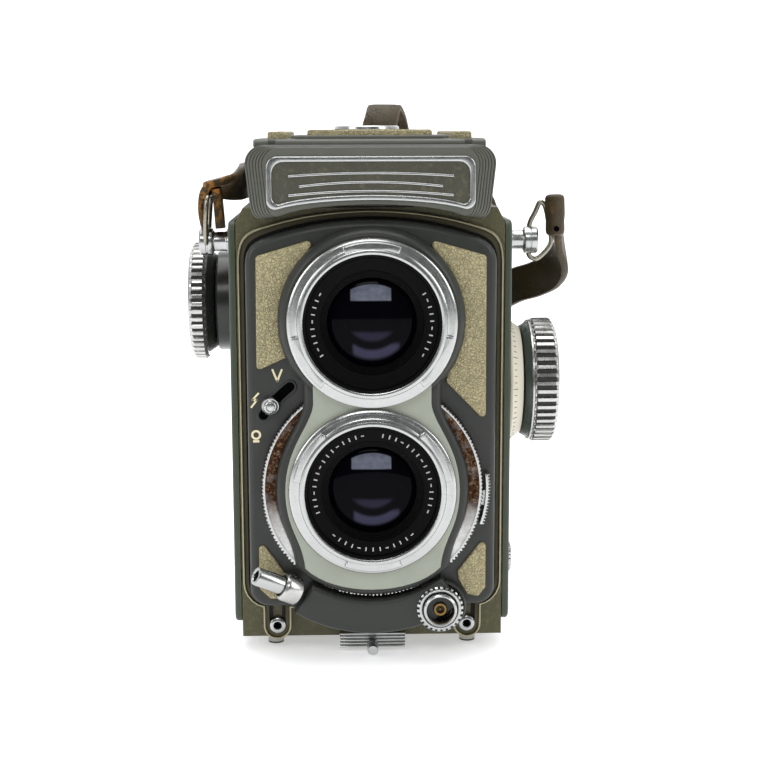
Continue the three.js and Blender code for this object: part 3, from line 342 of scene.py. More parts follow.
# ---------- materials ----------
class Nodes:
    """A few words for building a node material."""

    def __init__(self, name):
        self.material = bpy.data.materials.new(name)
        self.material.use_nodes = True
        self.tree = self.material.node_tree
        self.shader = self.tree.nodes["Principled BSDF"]
        self.place = self.node("TexCoord").outputs["Object"]

    def feed(self, socket, value):
        if isinstance(value, bpy.types.NodeSocket):
            self.tree.links.new(value, socket)
        elif isinstance(value, (tuple, list)) and len(value) == 3 and len(socket.default_value) == 4:
            socket.default_value = (*value, 1.0)
        else:
            socket.default_value = value

    def node(self, kind, settings=(), inputs=()):
        made = self.tree.nodes.new("ShaderNode" + kind)
        for key, value in dict(settings).items():
            setattr(made, key, value)
        for key, value in dict(inputs).items():
            self.feed(made.inputs[key], value)
        return made

    def noise(self, size_mm, detail=3.0, rough=0.55):
        inputs = {"Vector": self.place, "Scale": 1 / (size_mm * MM), "Detail": detail, "Roughness": rough}
        return self.node("TexNoise", (), inputs).outputs["Fac"]

    def cells(self, size_mm, feature="DISTANCE_TO_EDGE", at=None):
        inputs = {"Vector": at or self.place, "Scale": 1 / (size_mm * MM)}
        return self.node("TexVoronoi", {"feature": feature}, inputs)

    def ramp(self, value, first, second):
        """Straight fade between two (place, grey) stops."""
        made = self.node("ValToRGB", (), {"Fac": value})
        for element, (at, grey) in zip(made.color_ramp.elements, (first, second)):
            element.position = at
            element.color = (grey, grey, grey, 1.0)
        return made.outputs["Color"]

    def spots(self, size_mm, detail, rough, low, high):
        """Islands of noise: 0 below low, 1 above high."""
        return self.ramp(self.noise(size_mm, detail, rough), (low, 0.0), (high, 1.0))

    def mix(self, factor, first, second):
        inputs = {0: factor, 6: first, 7: second}
        return self.node("Mix", {"data_type": "RGBA"}, inputs).outputs[2]

    def over(self, base, mask, amount, colour):
        """Lays a colour over the base where the mask is bright."""
        return self.mix(self.times(mask, amount), base, colour)

    def cloud(self, size_mm, detail, rough, colour, dark, light):
        """The colour in soft clouds between two shades."""
        return self.mix(self.noise(size_mm, detail, rough), shade(colour, dark), shade(colour, light))

    def math(self, kind, first, second=0.0):
        return self.node("Math", {"operation": kind}, {0: first, 1: second}).outputs[0]

    def times(self, first, second):
        return self.math("MULTIPLY", first, second)

    def minus(self, first, second):
        return self.math("SUBTRACT", first, second)

    def xyz(self):
        return self.node("SeparateXYZ", (), {0: self.place}).outputs

    def edge(self, radius_mm):
        """1 near convex and concave edges, 0 on flat faces."""
        bevel = self.node("Bevel", {"samples": 8}, {"Radius": radius_mm * MM}).outputs[0]
        plain_normal = self.node("NewGeometry").outputs["Normal"]
        dot = self.node("VectorMath", {"operation": "DOT_PRODUCT"}, {0: bevel, 1: plain_normal})
        return self.ramp(dot.outputs["Value"], (0.80, 1.0), (0.995, 0.0))

    def bump(self, height, depth_mm, strength):
        inputs = {"Height": height, "Distance": depth_mm * MM, "Strength": strength}
        return self.node("Bump", (), inputs).outputs["Normal"]

    def finish(self, colour, rough, metallic=0.0, normal=None, **sockets):
        sockets.update(Base_Color=colour, Roughness=rough, Metallic=metallic)
        if normal is not None:
            sockets["Normal"] = normal
        for key, value in sockets.items():
            self.feed(self.shader.inputs[key.replace("_", " ")], value)
        return self.material


def srgb(*values):
    """Linear colour of an sRGB colour given as 0 to 255."""
    parts = [value / 255 for value in values]
    return tuple(v / 12.92 if v <= 0.04045 else ((v + 0.055) / 1.055) ** 2.4 for v in parts)


def shade(colour, by):
    return tuple(min(1.0, c * by) for c in colour)


def paint(name, colour, rough=0.38, grain_mm=0.62, worn=srgb(150, 140, 110), wear=0.55, coat=0.15):
    """Smooth enamel with slight orange peel, dust and worn edges."""
    n = Nodes(name)
    base = n.cloud(9.0, 4.0, 0.55, colour, 0.86, 1.14)
    base = n.over(base, n.spots(0.35, 2.0, 0.7, 0.66, 0.74), 0.16, shade(colour, 1.9))
    chipped = n.times(n.edge(0.22), n.spots(2.2, 5.0, 0.65, 0.50, 0.62))
    base = n.over(base, chipped, wear, worn)
    gloss = n.ramp(n.noise(3.0, 4.0), (0.3, rough * 0.82), (0.7, min(1.0, rough * 1.25)))
    normal = n.bump(n.noise(grain_mm, 2.0), 0.012, 0.6)
    return n.finish(base, gloss, 0.0, normal, Coat_Weight=coat, Coat_Roughness=0.3, Specular_IOR_Level=0.28)


def wrinkle(name, colour):
    """Crackle finish enamel on the casting."""
    n = Nodes(name)
    cells = n.cells(0.42, "SMOOTH_F1")
    cells.inputs["Smoothness"].default_value = 0.35
    ridges = cells.outputs["Distance"]
    soft = n.noise(0.25, 3.0, 0.6)
    height = n.math("ADD", n.times(ridges, 0.7), n.times(soft, 0.5))
    base = n.cloud(11.0, 5.0, 0.6, colour, 0.74, 1.28)
    base = n.over(base, n.ramp(ridges, (0.15, 1.0), (0.62, 0.0)), 0.30, shade(colour, 1.65))
    base = n.over(base, n.spots(1.4, 6.0, 0.7, 0.52, 0.70), 0.22, srgb(140, 130, 92))
    worn = n.times(n.edge(0.3), n.spots(1.6, 5.0, 0.7, 0.5, 0.6))
    base = n.over(base, worn, 0.6, srgb(158, 140, 92))
    return n.finish(base, 0.52, 0.0, n.bump(height, 0.07, 0.9))


def metal(name, colour, rough=0.22, grime=0.35, depth=0.004, dark=srgb(70, 58, 42)):
    """Plated or bare metal: faint scratches, finger haze and spots of grime."""
    n = Nodes(name)
    scratch = n.noise(1.6, 2.0, 0.5)
    base = n.cloud(5.0, 5.0, 0.6, colour, 0.88, 1.06)
    base = n.over(base, n.spots(1.1, 5.0, 0.7, 0.58, 0.72), 0.5 * grime, dark)
    gloss = n.ramp(scratch, (0.3, rough * 0.85), (0.7, rough * 1.15))
    return n.finish(base, gloss, 1.0, n.bump(scratch, depth, 0.5))


def leatherette(name, colour, grain_mm=0.62):
    """Pebbled leather: small round grains with shallow hollows between them, darkened in patches as painted shade."""
    n = Nodes(name)
    shift = n.node("TexNoise", (), {"Vector": n.place, "Scale": 1 / (0.9 * MM)})
    inputs = {0: shift.outputs["Color"], 1: (0.7 * MM,) * 3, 2: n.place}
    at = n.node("VectorMath", {"operation": "MULTIPLY_ADD"}, inputs).outputs[0]
    grain = n.cells(grain_mm, at=at).outputs["Distance"]
    fine = n.noise(0.3, 3.0, 0.6)
    here = n.ramp(n.noise(0.9, 3.0, 0.6), (0.36, 0.35), (0.56, 1.0))
    # The hollows sink in the bump and are darkened as painted shade.
    hollow_depth_and_shade = n.times(n.ramp(grain, (0.03, 1.0), (0.17, 0.0)), here)
    base = n.cloud(6.0, 5.0, 0.6, colour, 0.9, 1.1)
    base = n.over(base, hollow_depth_and_shade, 0.65, shade(colour, 0.38))
    base = n.over(base, n.ramp(fine, (0.5, 0.0), (0.72, 1.0)), 0.25, shade(colour, 0.66))
    base = n.over(base, n.spots(2.6, 6.0, 0.7, 0.58, 0.74), 0.30, srgb(120, 106, 70))
    base = n.over(base, n.edge(0.3), 0.5, srgb(78, 70, 46))
    height = n.minus(n.times(fine, 0.5), hollow_depth_and_shade)
    return n.finish(base, 0.55, 0.0, n.bump(height, 0.2, 1.0), Sheen_Weight=0.05)


def strap_leather(name, colour):
    """Old bridle leather: polished face, cross cracks that show the lighter hide."""
    n = Nodes(name)
    broad = n.noise(6.0, 5.0, 0.6)
    base = n.mix(broad, shade(colour, 0.62), shade(colour, 1.5))
    lines = n.ramp(n.cells(1.5).outputs["Distance"], (0.0, 1.0), (0.06, 0.0))
    cracks = n.times(lines, n.spots(4.5, 4.0, 0.6, 0.44, 0.60))
    base = n.over(base, cracks, 0.8, srgb(28, 20, 12))
    # The fold over the left bail is rubbed down to the raw hide.
    fold, reach = Vector((-35.6, -6.0, 102.6)) * MM, 9.0 * MM
    apart = n.node("VectorMath", {"operation": "DISTANCE"}, {0: n.place, 1: fold}).outputs["Value"]
    near = n.ramp(n.math("DIVIDE", apart, reach), (0.35, 1.0), (1.0, 0.0))
    raw = n.times(near, n.spots(2.0, 5.0, 0.7, 0.46, 0.54))
    base = n.over(base, n.spots(2.4, 6.0, 0.7, 0.60, 0.72), 0.45, srgb(139, 98, 50))
    base = n.over(base, raw, 0.8, srgb(176, 118, 44))
    thin = n.ramp(n.noise(2.0, 4.0), (0.4, 0.0), (0.6, 0.7))
    base = n.over(base, n.edge(0.35), thin, srgb(160, 112, 52))
    height = n.minus(n.noise(0.8, 4.0, 0.6), n.times(cracks, 1.2))
    rough = n.ramp(broad, (0.3, 0.30), (0.7, 0.55))
    normal = n.bump(height, 0.16, 0.8)
    return n.finish(base, rough, 0.0, normal, Coat_Weight=0.04, Coat_Roughness=0.3, Specular_IOR_Level=0.25)


def plain(name, colour, rough=0.5, metallic=0.0, **sockets):
    """One colour with soft clouds and a faint grain."""
    n = Nodes(name)
    base = n.cloud(1.4, 4.0, 0.55, colour, 0.85, 1.12)
    gloss = n.ramp(n.noise(0.8, 4.0), (0.3, rough * 0.85), (0.7, min(1.0, rough * 1.2)))
    return n.finish(base, gloss, metallic, n.bump(n.noise(0.3, 2.0), 0.006, 0.4), **sockets)


CHROME = dict(grime=0.12, depth=0.0006)
looks = {
    "wrinkle_paint": wrinkle("wrinkle_paint", srgb(68, 66, 38)),
    "cover_paint": paint("cover_paint", srgb(60, 68, 54), 0.42, coat=0.1),
    "charcoal_paint": paint("charcoal_paint", srgb(46, 48, 45), 0.34, wear=0.25, coat=0.05),
    "grey_paint": paint("grey_paint", srgb(88, 89, 82), 0.34, wear=0.22, coat=0.05),
    "satin_chrome": metal("satin_chrome", (0.46, 0.47, 0.46), 0.24, **CHROME),
    "silver_paint": paint("silver_paint", srgb(150, 155, 142), 0.36, grain_mm=0.2, wear=0.3, worn=srgb(120, 108, 80)),
    "polished_aluminium": metal("polished_aluminium", (0.50, 0.50, 0.48), 0.26, **CHROME),
    "bare_aluminium": metal("bare_aluminium", srgb(158, 152, 126), 0.40, grime=0.8, dark=srgb(116, 84, 44)),
    "black_metal": plain("black_metal", (0.012, 0.012, 0.012), 0.42),
    "coated_glass": plain("coated_glass", (0.01, 0.009, 0.014), 0.04),
    "mirror_glass": plain("mirror_glass", (0.9, 0.91, 0.92), 0.04, 1.0),
    "ground_glass": plain("ground_glass", (0.62, 0.63, 0.62), 0.6),
    "leatherette": leatherette("leatherette", srgb(176, 166, 126)),
    "strap_leather": strap_leather("strap_leather", srgb(62, 52, 32)),
    "steel_wire": metal("steel_wire", srgb(150, 146, 132), 0.3, grime=0.7),
    "cream_scale": paint("cream_scale", srgb(214, 208, 190), 0.4, wear=0.3, worn=srgb(150, 132, 96)),
}
black_ring = plain("black_ring", (0.0015, 0.0014, 0.0014), 0.4, Specular_IOR_Level=0.07)
cream_ink = plain("cream_ink", srgb(226, 216, 176), 0.5)
dark_hole = plain("dark_hole", (0.002, 0.002, 0.002), 0.9, Specular_IOR_Level=0.0)
groove_dark = plain("groove_dark", (0.02, 0.02, 0.018), 0.6)

slot_of = {part["node"]: part["material_slot"] for part in frame["record"]["subparts"]}
for name, node in nodes.items():
    node.data.materials.clear()
    node.data.materials.append(looks[slot_of[name]])
    node.data.polygons.foreach_set("use_smooth", [True] * len(node.data.polygons))
    node.data.set_sharp_from_angle(angle=math.radians(30))

# ---------- neck strap ----------
STRAP_WIDTH = 8.7
STRAP_THICK = 2.0
# Each place is x, y, z and the direction the leather's face looks in.
LEFT_ROUTE = [
    (-37.2, -6, 101.4, 1, 0, 0), (-36.6, -5.9, 103.6, 0.85, 0, -0.5), (-35.0, -5.2, 104.7, 0.35, 0.1, -0.9),
    (-33.2, -2.2, 104.5, 0.5, 0.1, -0.8), (-31.4, 3, 104.5, 0.85, 0, -0.5), (-29.9, 10, 104.6, 1, 0, -0.1),
    (-29.2, 24, 104.6, 1, 0, 0), (-26.5, 36, 105.2, 0.8, -0.6, 0),
    (-18, 42.4, 105.4, 0.1, -1, 0), (-7, 43.2, 107.0, 0, -1, 0), (1.6, 44.4, 112.0, -0.1, -1, 0.1),
    (4.2, 47.0, 118.4, 0, -0.9, 0.4), (5.4, 51.5, 122.2, 0, -0.1, 1), (7.0, 57.0, 119.6, 0, 0.7, 0.7),
    (9.2, 60.5, 113.0, 0.1, 1, 0.3), (15.5, 63.5, 107.5, 0.2, 0.9, 0.5), (25, 65, 104.0, 0.3, 0.6, 0.75),
    (33.2, 67, 99.0, 0.75, 0.2, 0.65), (37.4, 71, 88, 1, 0, 0.2),
    (38.6, 80, 62, 1, 0, 0), (39.4, 94, 30, 1, 0, 0), (40, 104, 12.5, 1, 0, 0), (39.3, 112, 5.8, 1, 0.1, 0),
    (36.6, 119.5, 4.9, 0.9, 0.4, 0), (32.8, 125.2, 4.85, 0.85, 0.5, 0), (30.2, 130.4, 4.8, 1, 0.1, 0),
]
RIGHT_ROUTE = [
    (42.8, -4.2, 95.4, 1, 0, 0.2), (44.6, 0, 91.5, 1, -0.3, 0.2), (45.9, 5, 87.0, 1, 0, 0.2),
    (44.8, 11, 83.0, 0.9, 0.4, 0.15), (41.6, 17.5, 80.2, 0.7, 0.7, 0.1), (37.6, 24.5, 78.0, 0.8, 0.6, 0.1),
    (35.2, 33, 74.5, 1, 0.2, 0), (35.0, 42, 66, 1, 0, 0), (35.0, 52, 48, 1, 0, 0), (35.2, 66, 25, 1, 0, 0),
    (35.2, 82, 10.5, 1, 0, 0), (34.6, 96, 5.4, 1, 0.05, 0), (32.6, 106, 4.9, 0.9, 0.4, 0),
    (27, 111.2, 4.9, 0.3, 0.95, 0), (20.5, 112.2, 4.9, 0.2, 1, 0), (17, 114.0, 4.9, 0.8, 0.6, 0),
    (16, 117.7, 4.9, 1, 0, 0),
]
COIL_TURNS = 2.5
COIL_HALF = 12.0
COIL_MIDDLE_Y = 130.0
COIL_END_X = 18.0
LAYER_PITCH = 3.35


def ribbon(bm, line, facing, width, thick):
    """Leather ribbon: rounded edges and a slightly crowned face."""
    face = [(-0.5, -0.18), (-0.47, -0.42), (-0.3, -0.5), (0.0, -0.52), (0.3, -0.5), (0.47, -0.42), (0.5, -0.18)]
    section = face + [(-u, -v) for u, v in face]
    rings = []
    for i, here in enumerate(line):
        along = (line[min(i + 1, len(line) - 1)] - line[max(i - 1, 0)]).normalized()
        up = (facing[i] - along * facing[i].dot(along)).normalized()
        across = up.cross(along)
        rings.append([here + across * (u * width) + up * (v * thick) for u, v in section])
    add_rings(bm, rings)


def leather(name, line, facing, width, thick, replaces=()):
    bm = bmesh.new()
    ribbon(bm, line, facing, width, thick)
    return make_object(name, bm, "camera_body", "strap_leather", replaces)


def strap(node, line, facing):
    piece = leather(node + "_leather", line, facing, STRAP_WIDTH, STRAP_THICK, [node])


def coil_line(turns, per_bend=14, per_side=4):
    """The wound part of the strap, standing on edge: a stadium that closes in by one pitch a turn."""
    outer = COIL_HALF - STRAP_THICK / 2 - 0.1
    height = STRAP_WIDTH / 2 + 0.45
    per_half = per_bend + per_side
    line = []
    for i in range(int(turns * 2 * per_half)):
        part = i / (2 * per_half)
        # The first stretch leads in from the loose strap outside.
        r = outer - LAYER_PITCH * part + 1.2 * max(0.0, 1 - part * 8)
        half_turn, k = divmod(i + per_half // 2 - 2, per_half)
        side = 1 if half_turn % 2 == 0 else -1
        if k < per_bend:
            angle = math.radians(-90 + 180 * k / (per_bend - 1) + (0 if side > 0 else 180))
            x, y = side * COIL_END_X + r * math.cos(angle), r * math.sin(angle)
        else:
            share = (k - per_bend + 1) / (per_side + 1)
            x, y = side * COIL_END_X * (1 - 2 * share), side * r
        line.append(Vector((x, COIL_MIDDLE_Y + y, height)))
    return line


for node, route in (("neck_strap_left", LEFT_ROUTE), ("neck_strap_right", RIGHT_ROUTE)):
    line = spline([place[:3] for place in route], 6)
    strap(node, line, spline([place[3:] for place in route], 6))
left_end = Vector(LEFT_ROUTE[-1][:3])
wound = [left_end] + coil_line(COIL_TURNS)
wound_facing = []
for i in range(len(wound)):
    along = wound[min(i + 1, len(wound) - 1)] - wound[max(i - 1, 0)]
    wound_facing.append(Vector((along.y, -along.x, 0)).normalized())
strap("neck_strap_coil", wound, wound_facing)

# ---------- lens standard, front ----------
# x and y of this matrix lie in the front plane as x and z of the object, and its z points out of the lenses.
FACE = Matrix(((1, 0, 0, 0), (0, 0, -1, 0), (0, 1, 0, 0), (0, 0, 0, 1)))
VIEWING_Z = middle_mm("viewing_barrel").z
TAKING_Z = middle_mm("taking_barrel").z
RING_R = width_mm("viewing_barrel") / 2
standard_low, standard_high = box_mm("front_standard")
STANDARD_HALF = standard_high.x
STANDARD_OUT = 30.0
STANDARD_FOOT, STANDARD_CORNER = 12.2, 4
HOUSING_OUT = -box_mm("front_housing")[0].y
SPEED_R = width_mm("shutter_ring") / 2
LOBE_R = TAKING_Z - standard_low.z


def on_face(x, z):
    """The front plane's matrix moved to a place on it."""
    return FACE @ Matrix.Translation((x, z, 0))


def standard_outline(offset=0.0):
    """Outline of the standard with its arched top; anticlockwise."""
    half = STANDARD_HALF + offset
    bottom = STANDARD_FOOT - offset
    crown = standard_high.z + offset
    corner = STANDARD_CORNER + offset
    spring = 88.0
    shoulder = spring + 6 + offset
    points = [(-half + corner, bottom)]
    points += arc(half - corner, bottom + corner, corner, -90, 0, 6)
    points += [(half, z) for z in range(20, 88, 8)]
    points += [(half, spring)]
    points += bezier((half, spring), (half, shoulder - 2.4), (half - 1.6, shoulder - 1), (half - 5, shoulder), 6)
    points += bezier((half - 5, shoulder), (half - 12, shoulder + 2.4), (8, crown), (0, crown), 9)
    points += bezier((0, crown), (-8, crown), (-half + 12, shoulder + 2.4), (-half + 5, shoulder), 9)
    points += bezier((-half + 5, shoulder), (-half + 1.6, shoulder - 1), (-half, shoulder - 2.4), (-half, spring), 6)
    points += [(-half, z) for z in range(80, 18, -8)]
    points += arc(-half + corner, bottom + corner, corner, 180, 270, 6)[:-1]
    return points


def waist_outline(offset=0.0, steps=16):
    """Outline of the escutcheon: narrow between the lenses and wide round the lower one."""
    waist, bulge, foot = 12.7 + offset, 18.9 + offset, 14.8 + offset
    chin, low = (foot, 22.2), 15.6 - offset
    points = [(-foot, 22.2)] + bezier((-foot, 22.2), (-8.5, low), (8.5, low), chin, steps)
    side = bezier(chin, (foot + 0.6, 29), (bulge, 31), (bulge, TAKING_Z), steps)
    side += bezier((bulge, TAKING_Z), (bulge, 49), (waist + 0.4, 54), (waist, 58.6), steps)
    return points + mirrored(side + [(waist, 61.3), (waist, 64)])


def polar(radius, degrees):
    """A place on the front, about the taking axis."""
    angle = math.radians(degrees)
    return radius * math.cos(angle), TAKING_Z + radius * math.sin(angle)


def band(outer, inner, start, end, steps):
    """Outline of a curved band about the taking axis."""
    return arc(0, TAKING_Z, outer, start, end, steps) + arc(0, TAKING_Z, inner, end, start, steps)


# The casting of the standard: a broad rounded edge, and the bulge below joined to it.
bm = bmesh.new()
holed_slab(bm, standard_outline(), FACE, 24.2, STANDARD_OUT, 1.5, 12.9, 5)
slab(bm, band(LOBE_R, 24, -128, -52, 30), FACE, 28.8, STANDARD_OUT - 0.02, edge=0.5)
FOLLOWER = [(0, -26.0), (1.2, -26.0), (1.2, -9.9), (0.9, -9.6), (0, -9.6)]
for side in (-1, 1):
    turned(bm, FOLLOWER, basis((side * 24.3, 0, 59.2), (0, 1, 0)), 24)
make_object("standard_casting", bm, "front_standard", "charcoal_paint", ["front_standard"])

# Raised housing: the dome ring round the viewing lens, and a border that flows round the taking lens and its ring.
bm = bmesh.new()
dome = [(17.0, 30.2), (20.2, 30.2), (20.2, 31.6), (19.8, 33.0), (19.0, 34.0), (18.4, 34.3), (17.0, 34.3)]
turned(bm, dome, on_face(0, VIEWING_Z), 128, closed=True)
holed_slab(bm, waist_outline(2.15), FACE, 30.3, HOUSING_OUT - 0.05, 1.5, 14.6, 5)
collar = arc(0, TAKING_Z, LOBE_R - 0.1, -122, -53, 36) + arc(0, TAKING_Z, SPEED_R + 0.7, -53, -122, 36)
slab(bm, collar, FACE, 30.3, HOUSING_OUT - 0.1, edge=0.9, steps=4)
make_object("housing_shell", bm, "front_standard", "charcoal_paint", ["front_housing"])

bm = bmesh.new()
holed_slab(bm, waist_outline(), FACE, HOUSING_OUT - 0.2, HOUSING_OUT + 0.75, 0.35, 14.6)
make_object("escutcheon_plate", bm, "front_standard", "silver_paint", ["escutcheon"])


# ---------- leather patches ----------
def circle_cut(outline, cx, cz, radius):
    """Pushes the points of a dense outline out of a circle."""
    made = []
    for x, z in outline:
        d = math.hypot(x - cx, z - cz)
        if d < radius:
            x, z = cx + (x - cx) * radius / d, cz + (z - cz) * radius / d
        made.append((x, z))
    return made


def dense(points, step):
    """Puts points along each side of an outline."""
    made = []
    for a, b in zip(points, points[1:] + points[:1]):
        parts = max(1, int((b - a).length / step))
        made += [tuple(a.lerp(b, k / parts)) for k in range(parts)]
    return made


SOCKET_X, SOCKET_Z = 14.75, 12.6
PATCHES = {
    "leather_upper_left": [(-24.9, 65.3), (-16.8, 69.0), (-18.6, 76.0), (-17.0, 85.4), (-11.9, 93.8), (-24.7, 90.1)],
    "leather_upper_right": [(24.8, 53.8), (24.7, 90.0), (12.1, 93.6), (17.0, 85.4), (19.4, 76.0), (18.0, 69.0),
                            (16.0, 62.8)],
    "leather_lower_left": [(-25.0, 28.2), (-25.0, 16.6), (-22.6, 14.3), (-18.4, 14.3), (-18.4, 18.6)],
    "leather_lower_right": [(25.0, 28.2), (18.8, 20.2), (19.0, 18.4), (21.0, 14.8), (23.4, 14.3), (25.0, 16.4)],
}
patch_edge = plain("patch_edge", srgb(46, 42, 28), 0.6)
for name, corners in PATCHES.items():
    outline = dense(curved(corners, 0.8), 0.5)
    outline = circle_cut(outline, 0, TAKING_Z, SPEED_R + 2.0)
    outline = circle_cut(outline, 0, VIEWING_Z, 19.9)
    if name == "leather_lower_right":
        outline = circle_cut(outline, SOCKET_X, SOCKET_Z, 5.7)
    if sum(a[0] * b[1] - b[0] * a[1] for a, b in zip(outline, outline[1:] + outline[:1])) < 0:
        outline.reverse()
    back = STANDARD_OUT - 0.1
    plate(name + "_pebbled", "front_standard", "leatherette", outline, FACE, back, STANDARD_OUT + 0.62,
          [name], edge=0.32)
    grown = offset_outline(flat_outline(outline), -0.22)
    plate(name + "_bed", "front_standard", "charcoal_paint", grown, FACE, back, STANDARD_OUT + 0.1,
          material=patch_edge, edge=0.04, steps=1)


# ---------- lenses ----------
def lens_glass(name, z):
    """Blackened glass with painted reflections: a pale painted window reflection high up and violet painted crescent
    reflections low down.
    """
    n = Nodes(name)
    place = n.xyz()
    across = n.times(place["X"], 1 / MM)
    up = n.minus(n.times(place["Z"], 1 / MM), z)

    def step(value, low, high):
        inputs = {"Value": value, "From Min": low, "From Max": high}
        return n.node("MapRange", {"interpolation_type": "SMOOTHSTEP"}, inputs).outputs["Result"]

    def inside(value, low, high, soft):
        """1 between low and high, fading over soft at both ends."""
        return n.minus(step(value, low - soft, low), step(value, high, high + soft))

    def radius_from(height):
        dz = n.minus(up, height)
        return n.math("SQRT", n.math("ADD", n.times(across, across), n.times(dz, dz)))

    # Painted reflection of a window: a pale patch bounded above by the glass's own curve and below by a nearly level
    # line.
    painted_window_reflection = n.times(inside(radius_from(-1.5), 0.0, 9.5, 0.3), inside(up, 4.9, 20.0, 0.4))
    painted_window_reflection = n.times(painted_window_reflection, inside(across, -4.4, 3.9, 0.3))
    # Painted reflections low down: a violet crescent, and a fainter one inside it.
    lower = n.times(inside(radius_from(0.6), 7.0, 7.9, 1.0), inside(up, -20.0, -5.2, 1.4))
    lower = n.times(lower, inside(across, -3.6, 5.4, 0.9))
    middle = n.times(inside(radius_from(1.6), 3.9, 4.9, 1.2), inside(up, -20.0, -2.6, 1.2))
    pale = n.mix(n.noise(1.2, 3.0, 0.6), (0.06, 0.07, 0.10), (0.20, 0.21, 0.26))
    colour = n.over((0.001, 0.001, 0.002), painted_window_reflection, 0.85, pale)
    colour = n.over(colour, lower, 0.7, (0.055, 0.052, 0.095))
    colour = n.over(colour, middle, 0.5, (0.035, 0.032, 0.06))
    return n.finish(colour, 0.04, 0.0, Specular_IOR_Level=0.04)


def round_place(angle):
    """Directions outwards and along a circle at an angle."""
    return Vector((math.cos(angle), math.sin(angle), 0)), Vector((-math.sin(angle), math.cos(angle), 0))


def quad(centre, along, outward, wide, tall):
    return [centre + along * (u * wide) + outward * (v * tall) for u, v in ((-1, -1), (1, -1), (1, 1), (-1, 1))]


def lens(prefix, z, first_lug, tick_arcs):
    barrel_node, glass_node = prefix + "_barrel", prefix + "_lens_glass"
    low, high = box_mm(barrel_node)
    front, rear = -low.y, -high.y
    at = on_face(0, z)
    seat = HOUSING_OUT + 1.0
    # Bayonet ring: outer flange, a groove for the hood's lugs, and the bright inner rim.
    rim = [
        (11.6, rear), (12.8, rear), (12.8, seat), (RING_R - 0.6, seat), (RING_R - 0.1, seat + 0.3),
        (RING_R, seat + 0.7),
        (RING_R, front - 2.15), (RING_R - 0.12, front - 1.85), (RING_R - 0.5, front - 1.62),
        (RING_R - 0.9, front - 1.55),
        (16.3, front - 1.5), (16.0, front - 1.3), (15.95, front - 0.5), (15.75, front - 0.15), (15.35, front),
        (15.0, front), (14.75, front - 0.12), (14.6, front - 0.5), (14.55, front - 1.5), (14.3, front - 1.75),
        (11.6, front - 1.75),
    ]
    lathe(prefix + "_bayonet_ring", "front_standard", "satin_chrome", rim, at, 160, [barrel_node], closed=True)
    for i in range(3):
        centre = first_lug + 120 * i
        lug = arc(0, z, 17.35, centre - 21, centre + 21, 18) + arc(0, z, 15.4, centre + 21, centre - 21, 18)
        plate(f"{prefix}_lug_{i}", "front_standard", "satin_chrome", lug, FACE, front - 1.7, front - 0.32, edge=0.28)
    # Black cell: bevelled rim, stepped anti-glare ridges down to the glass.
    cell = [(14.9, front - 2.6), (14.9, front - 0.75), (14.5, front - 0.6), (14.15, front - 0.75), (14.0, front - 1.25),
            (13.9, front - 1.45), (11.35, front - 1.75), (11.2, front - 1.65), (11.0, front - 1.65),
            (10.9, front - 1.85)]
    for i in range(5):
        r = 10.9 - 0.26 * i
        h = front - 1.95 - 0.42 * i
        cell += [(r, h), (r - 0.06, h - 0.30), (r - 0.22, h - 0.32), (r - 0.25, h - 0.42)]
    cell += [(9.5, front - 4.6), (9.5, front - 5.4), (14.0, front - 5.4)]
    lathe(prefix + "_cell", "front_standard", "coated_glass", cell, at, 128, [glass_node], black_ring, closed=True)
    # Small ticks round the ring stand for generic engraving; their number and place carry no words.
    bm = bmesh.new()
    for start, end in tick_arcs:
        count = int((end - start) / 6.5)
        for k in range(count + 1):
            outward, along = round_place(math.radians(start + (end - start) * k / count))
            wide, tall = (0.13, 0.42) if k % 4 else (0.34, 0.12)
            tick = quad(outward * 12.65, along, outward, wide, tall)
            add_rings(bm, [raised(tick, at, front - 1.62), raised(tick, at, front - 1.50)])
    make_object(prefix + "_ring_ticks", bm, "front_standard", "coated_glass", (), ink_white)
    # Domed glass.
    edge, radius, rise, steps = front - 5.2, 9.6, 1.8, 14
    angles = [math.radians(90 * k / steps) for k in range(1, steps)]
    profile = [(0, edge - 0.8), (radius, edge - 0.8), (radius, edge)]
    profile += [(radius * math.cos(a), edge + rise * math.sin(a)) for a in angles] + [(0, edge + rise)]
    lathe(prefix + "_inner_element", "front_standard", "coated_glass", profile, at, 96, (),
          lens_glass(prefix + "_glass_painted_reflections", z), 60)


ink_white = plain("ink_white", (0.45, 0.45, 0.43), 0.5)
lens("viewing", VIEWING_Z, 90, ((150, 212), (-32, 30)))
lens("taking", TAKING_Z, 270, ((100, 200), (-20, 80), (228, 312)))

# ---------- nameplate ----------
plate_low, plate_high = box_mm("nameplate_housing")
PLATE_HALF = plate_high.x
PLATE_OUT = -plate_low.y
PLATE_TOP = plate_high.z
PLATE_CORNER = 97.7
RIDGES = 6


def housing_outline():
    half, low = PLATE_HALF, PLATE_CORNER
    points = [(-half + 0.9, 101.5)]
    points += bezier(points[-1], (-half + 1.2, low), (-half + 3, low), (-half + 4.2, low + 0.5), 6)
    points += bezier(points[-1], (-14, 101.5), (14, 101.5), (half - 4.2, low + 0.5), 12)
    points += bezier(points[-1], (half - 3, low), (half - 1.2, low), (half - 0.9, 101.5), 6)
    points += arc(half - 4, PLATE_TOP - 4, 4, 0, 90, 8)
    points += [(x, PLATE_TOP) for x in (16, 8, 0, -8, -16)]
    points += arc(-half + 4, PLATE_TOP - 4, 4, 90, 180, 8)
    return points


def frame_outline(offset=0.0):
    half = 22.2 + offset
    top = 111.2 + offset
    side = 99.9 - offset
    low = 2 + offset * 0.5
    points = [(-half + low, side)]
    points += bezier(points[-1], (-12, side + 2.6), (12, side + 2.6), (half - low, side), 14)
    corners = arc(half - low, side + low, low, -90, 0, 6)[1:] + arc(half - 2.4, top - 2.4, 2.4, 0, 90, 6)
    return points + mirrored(corners)


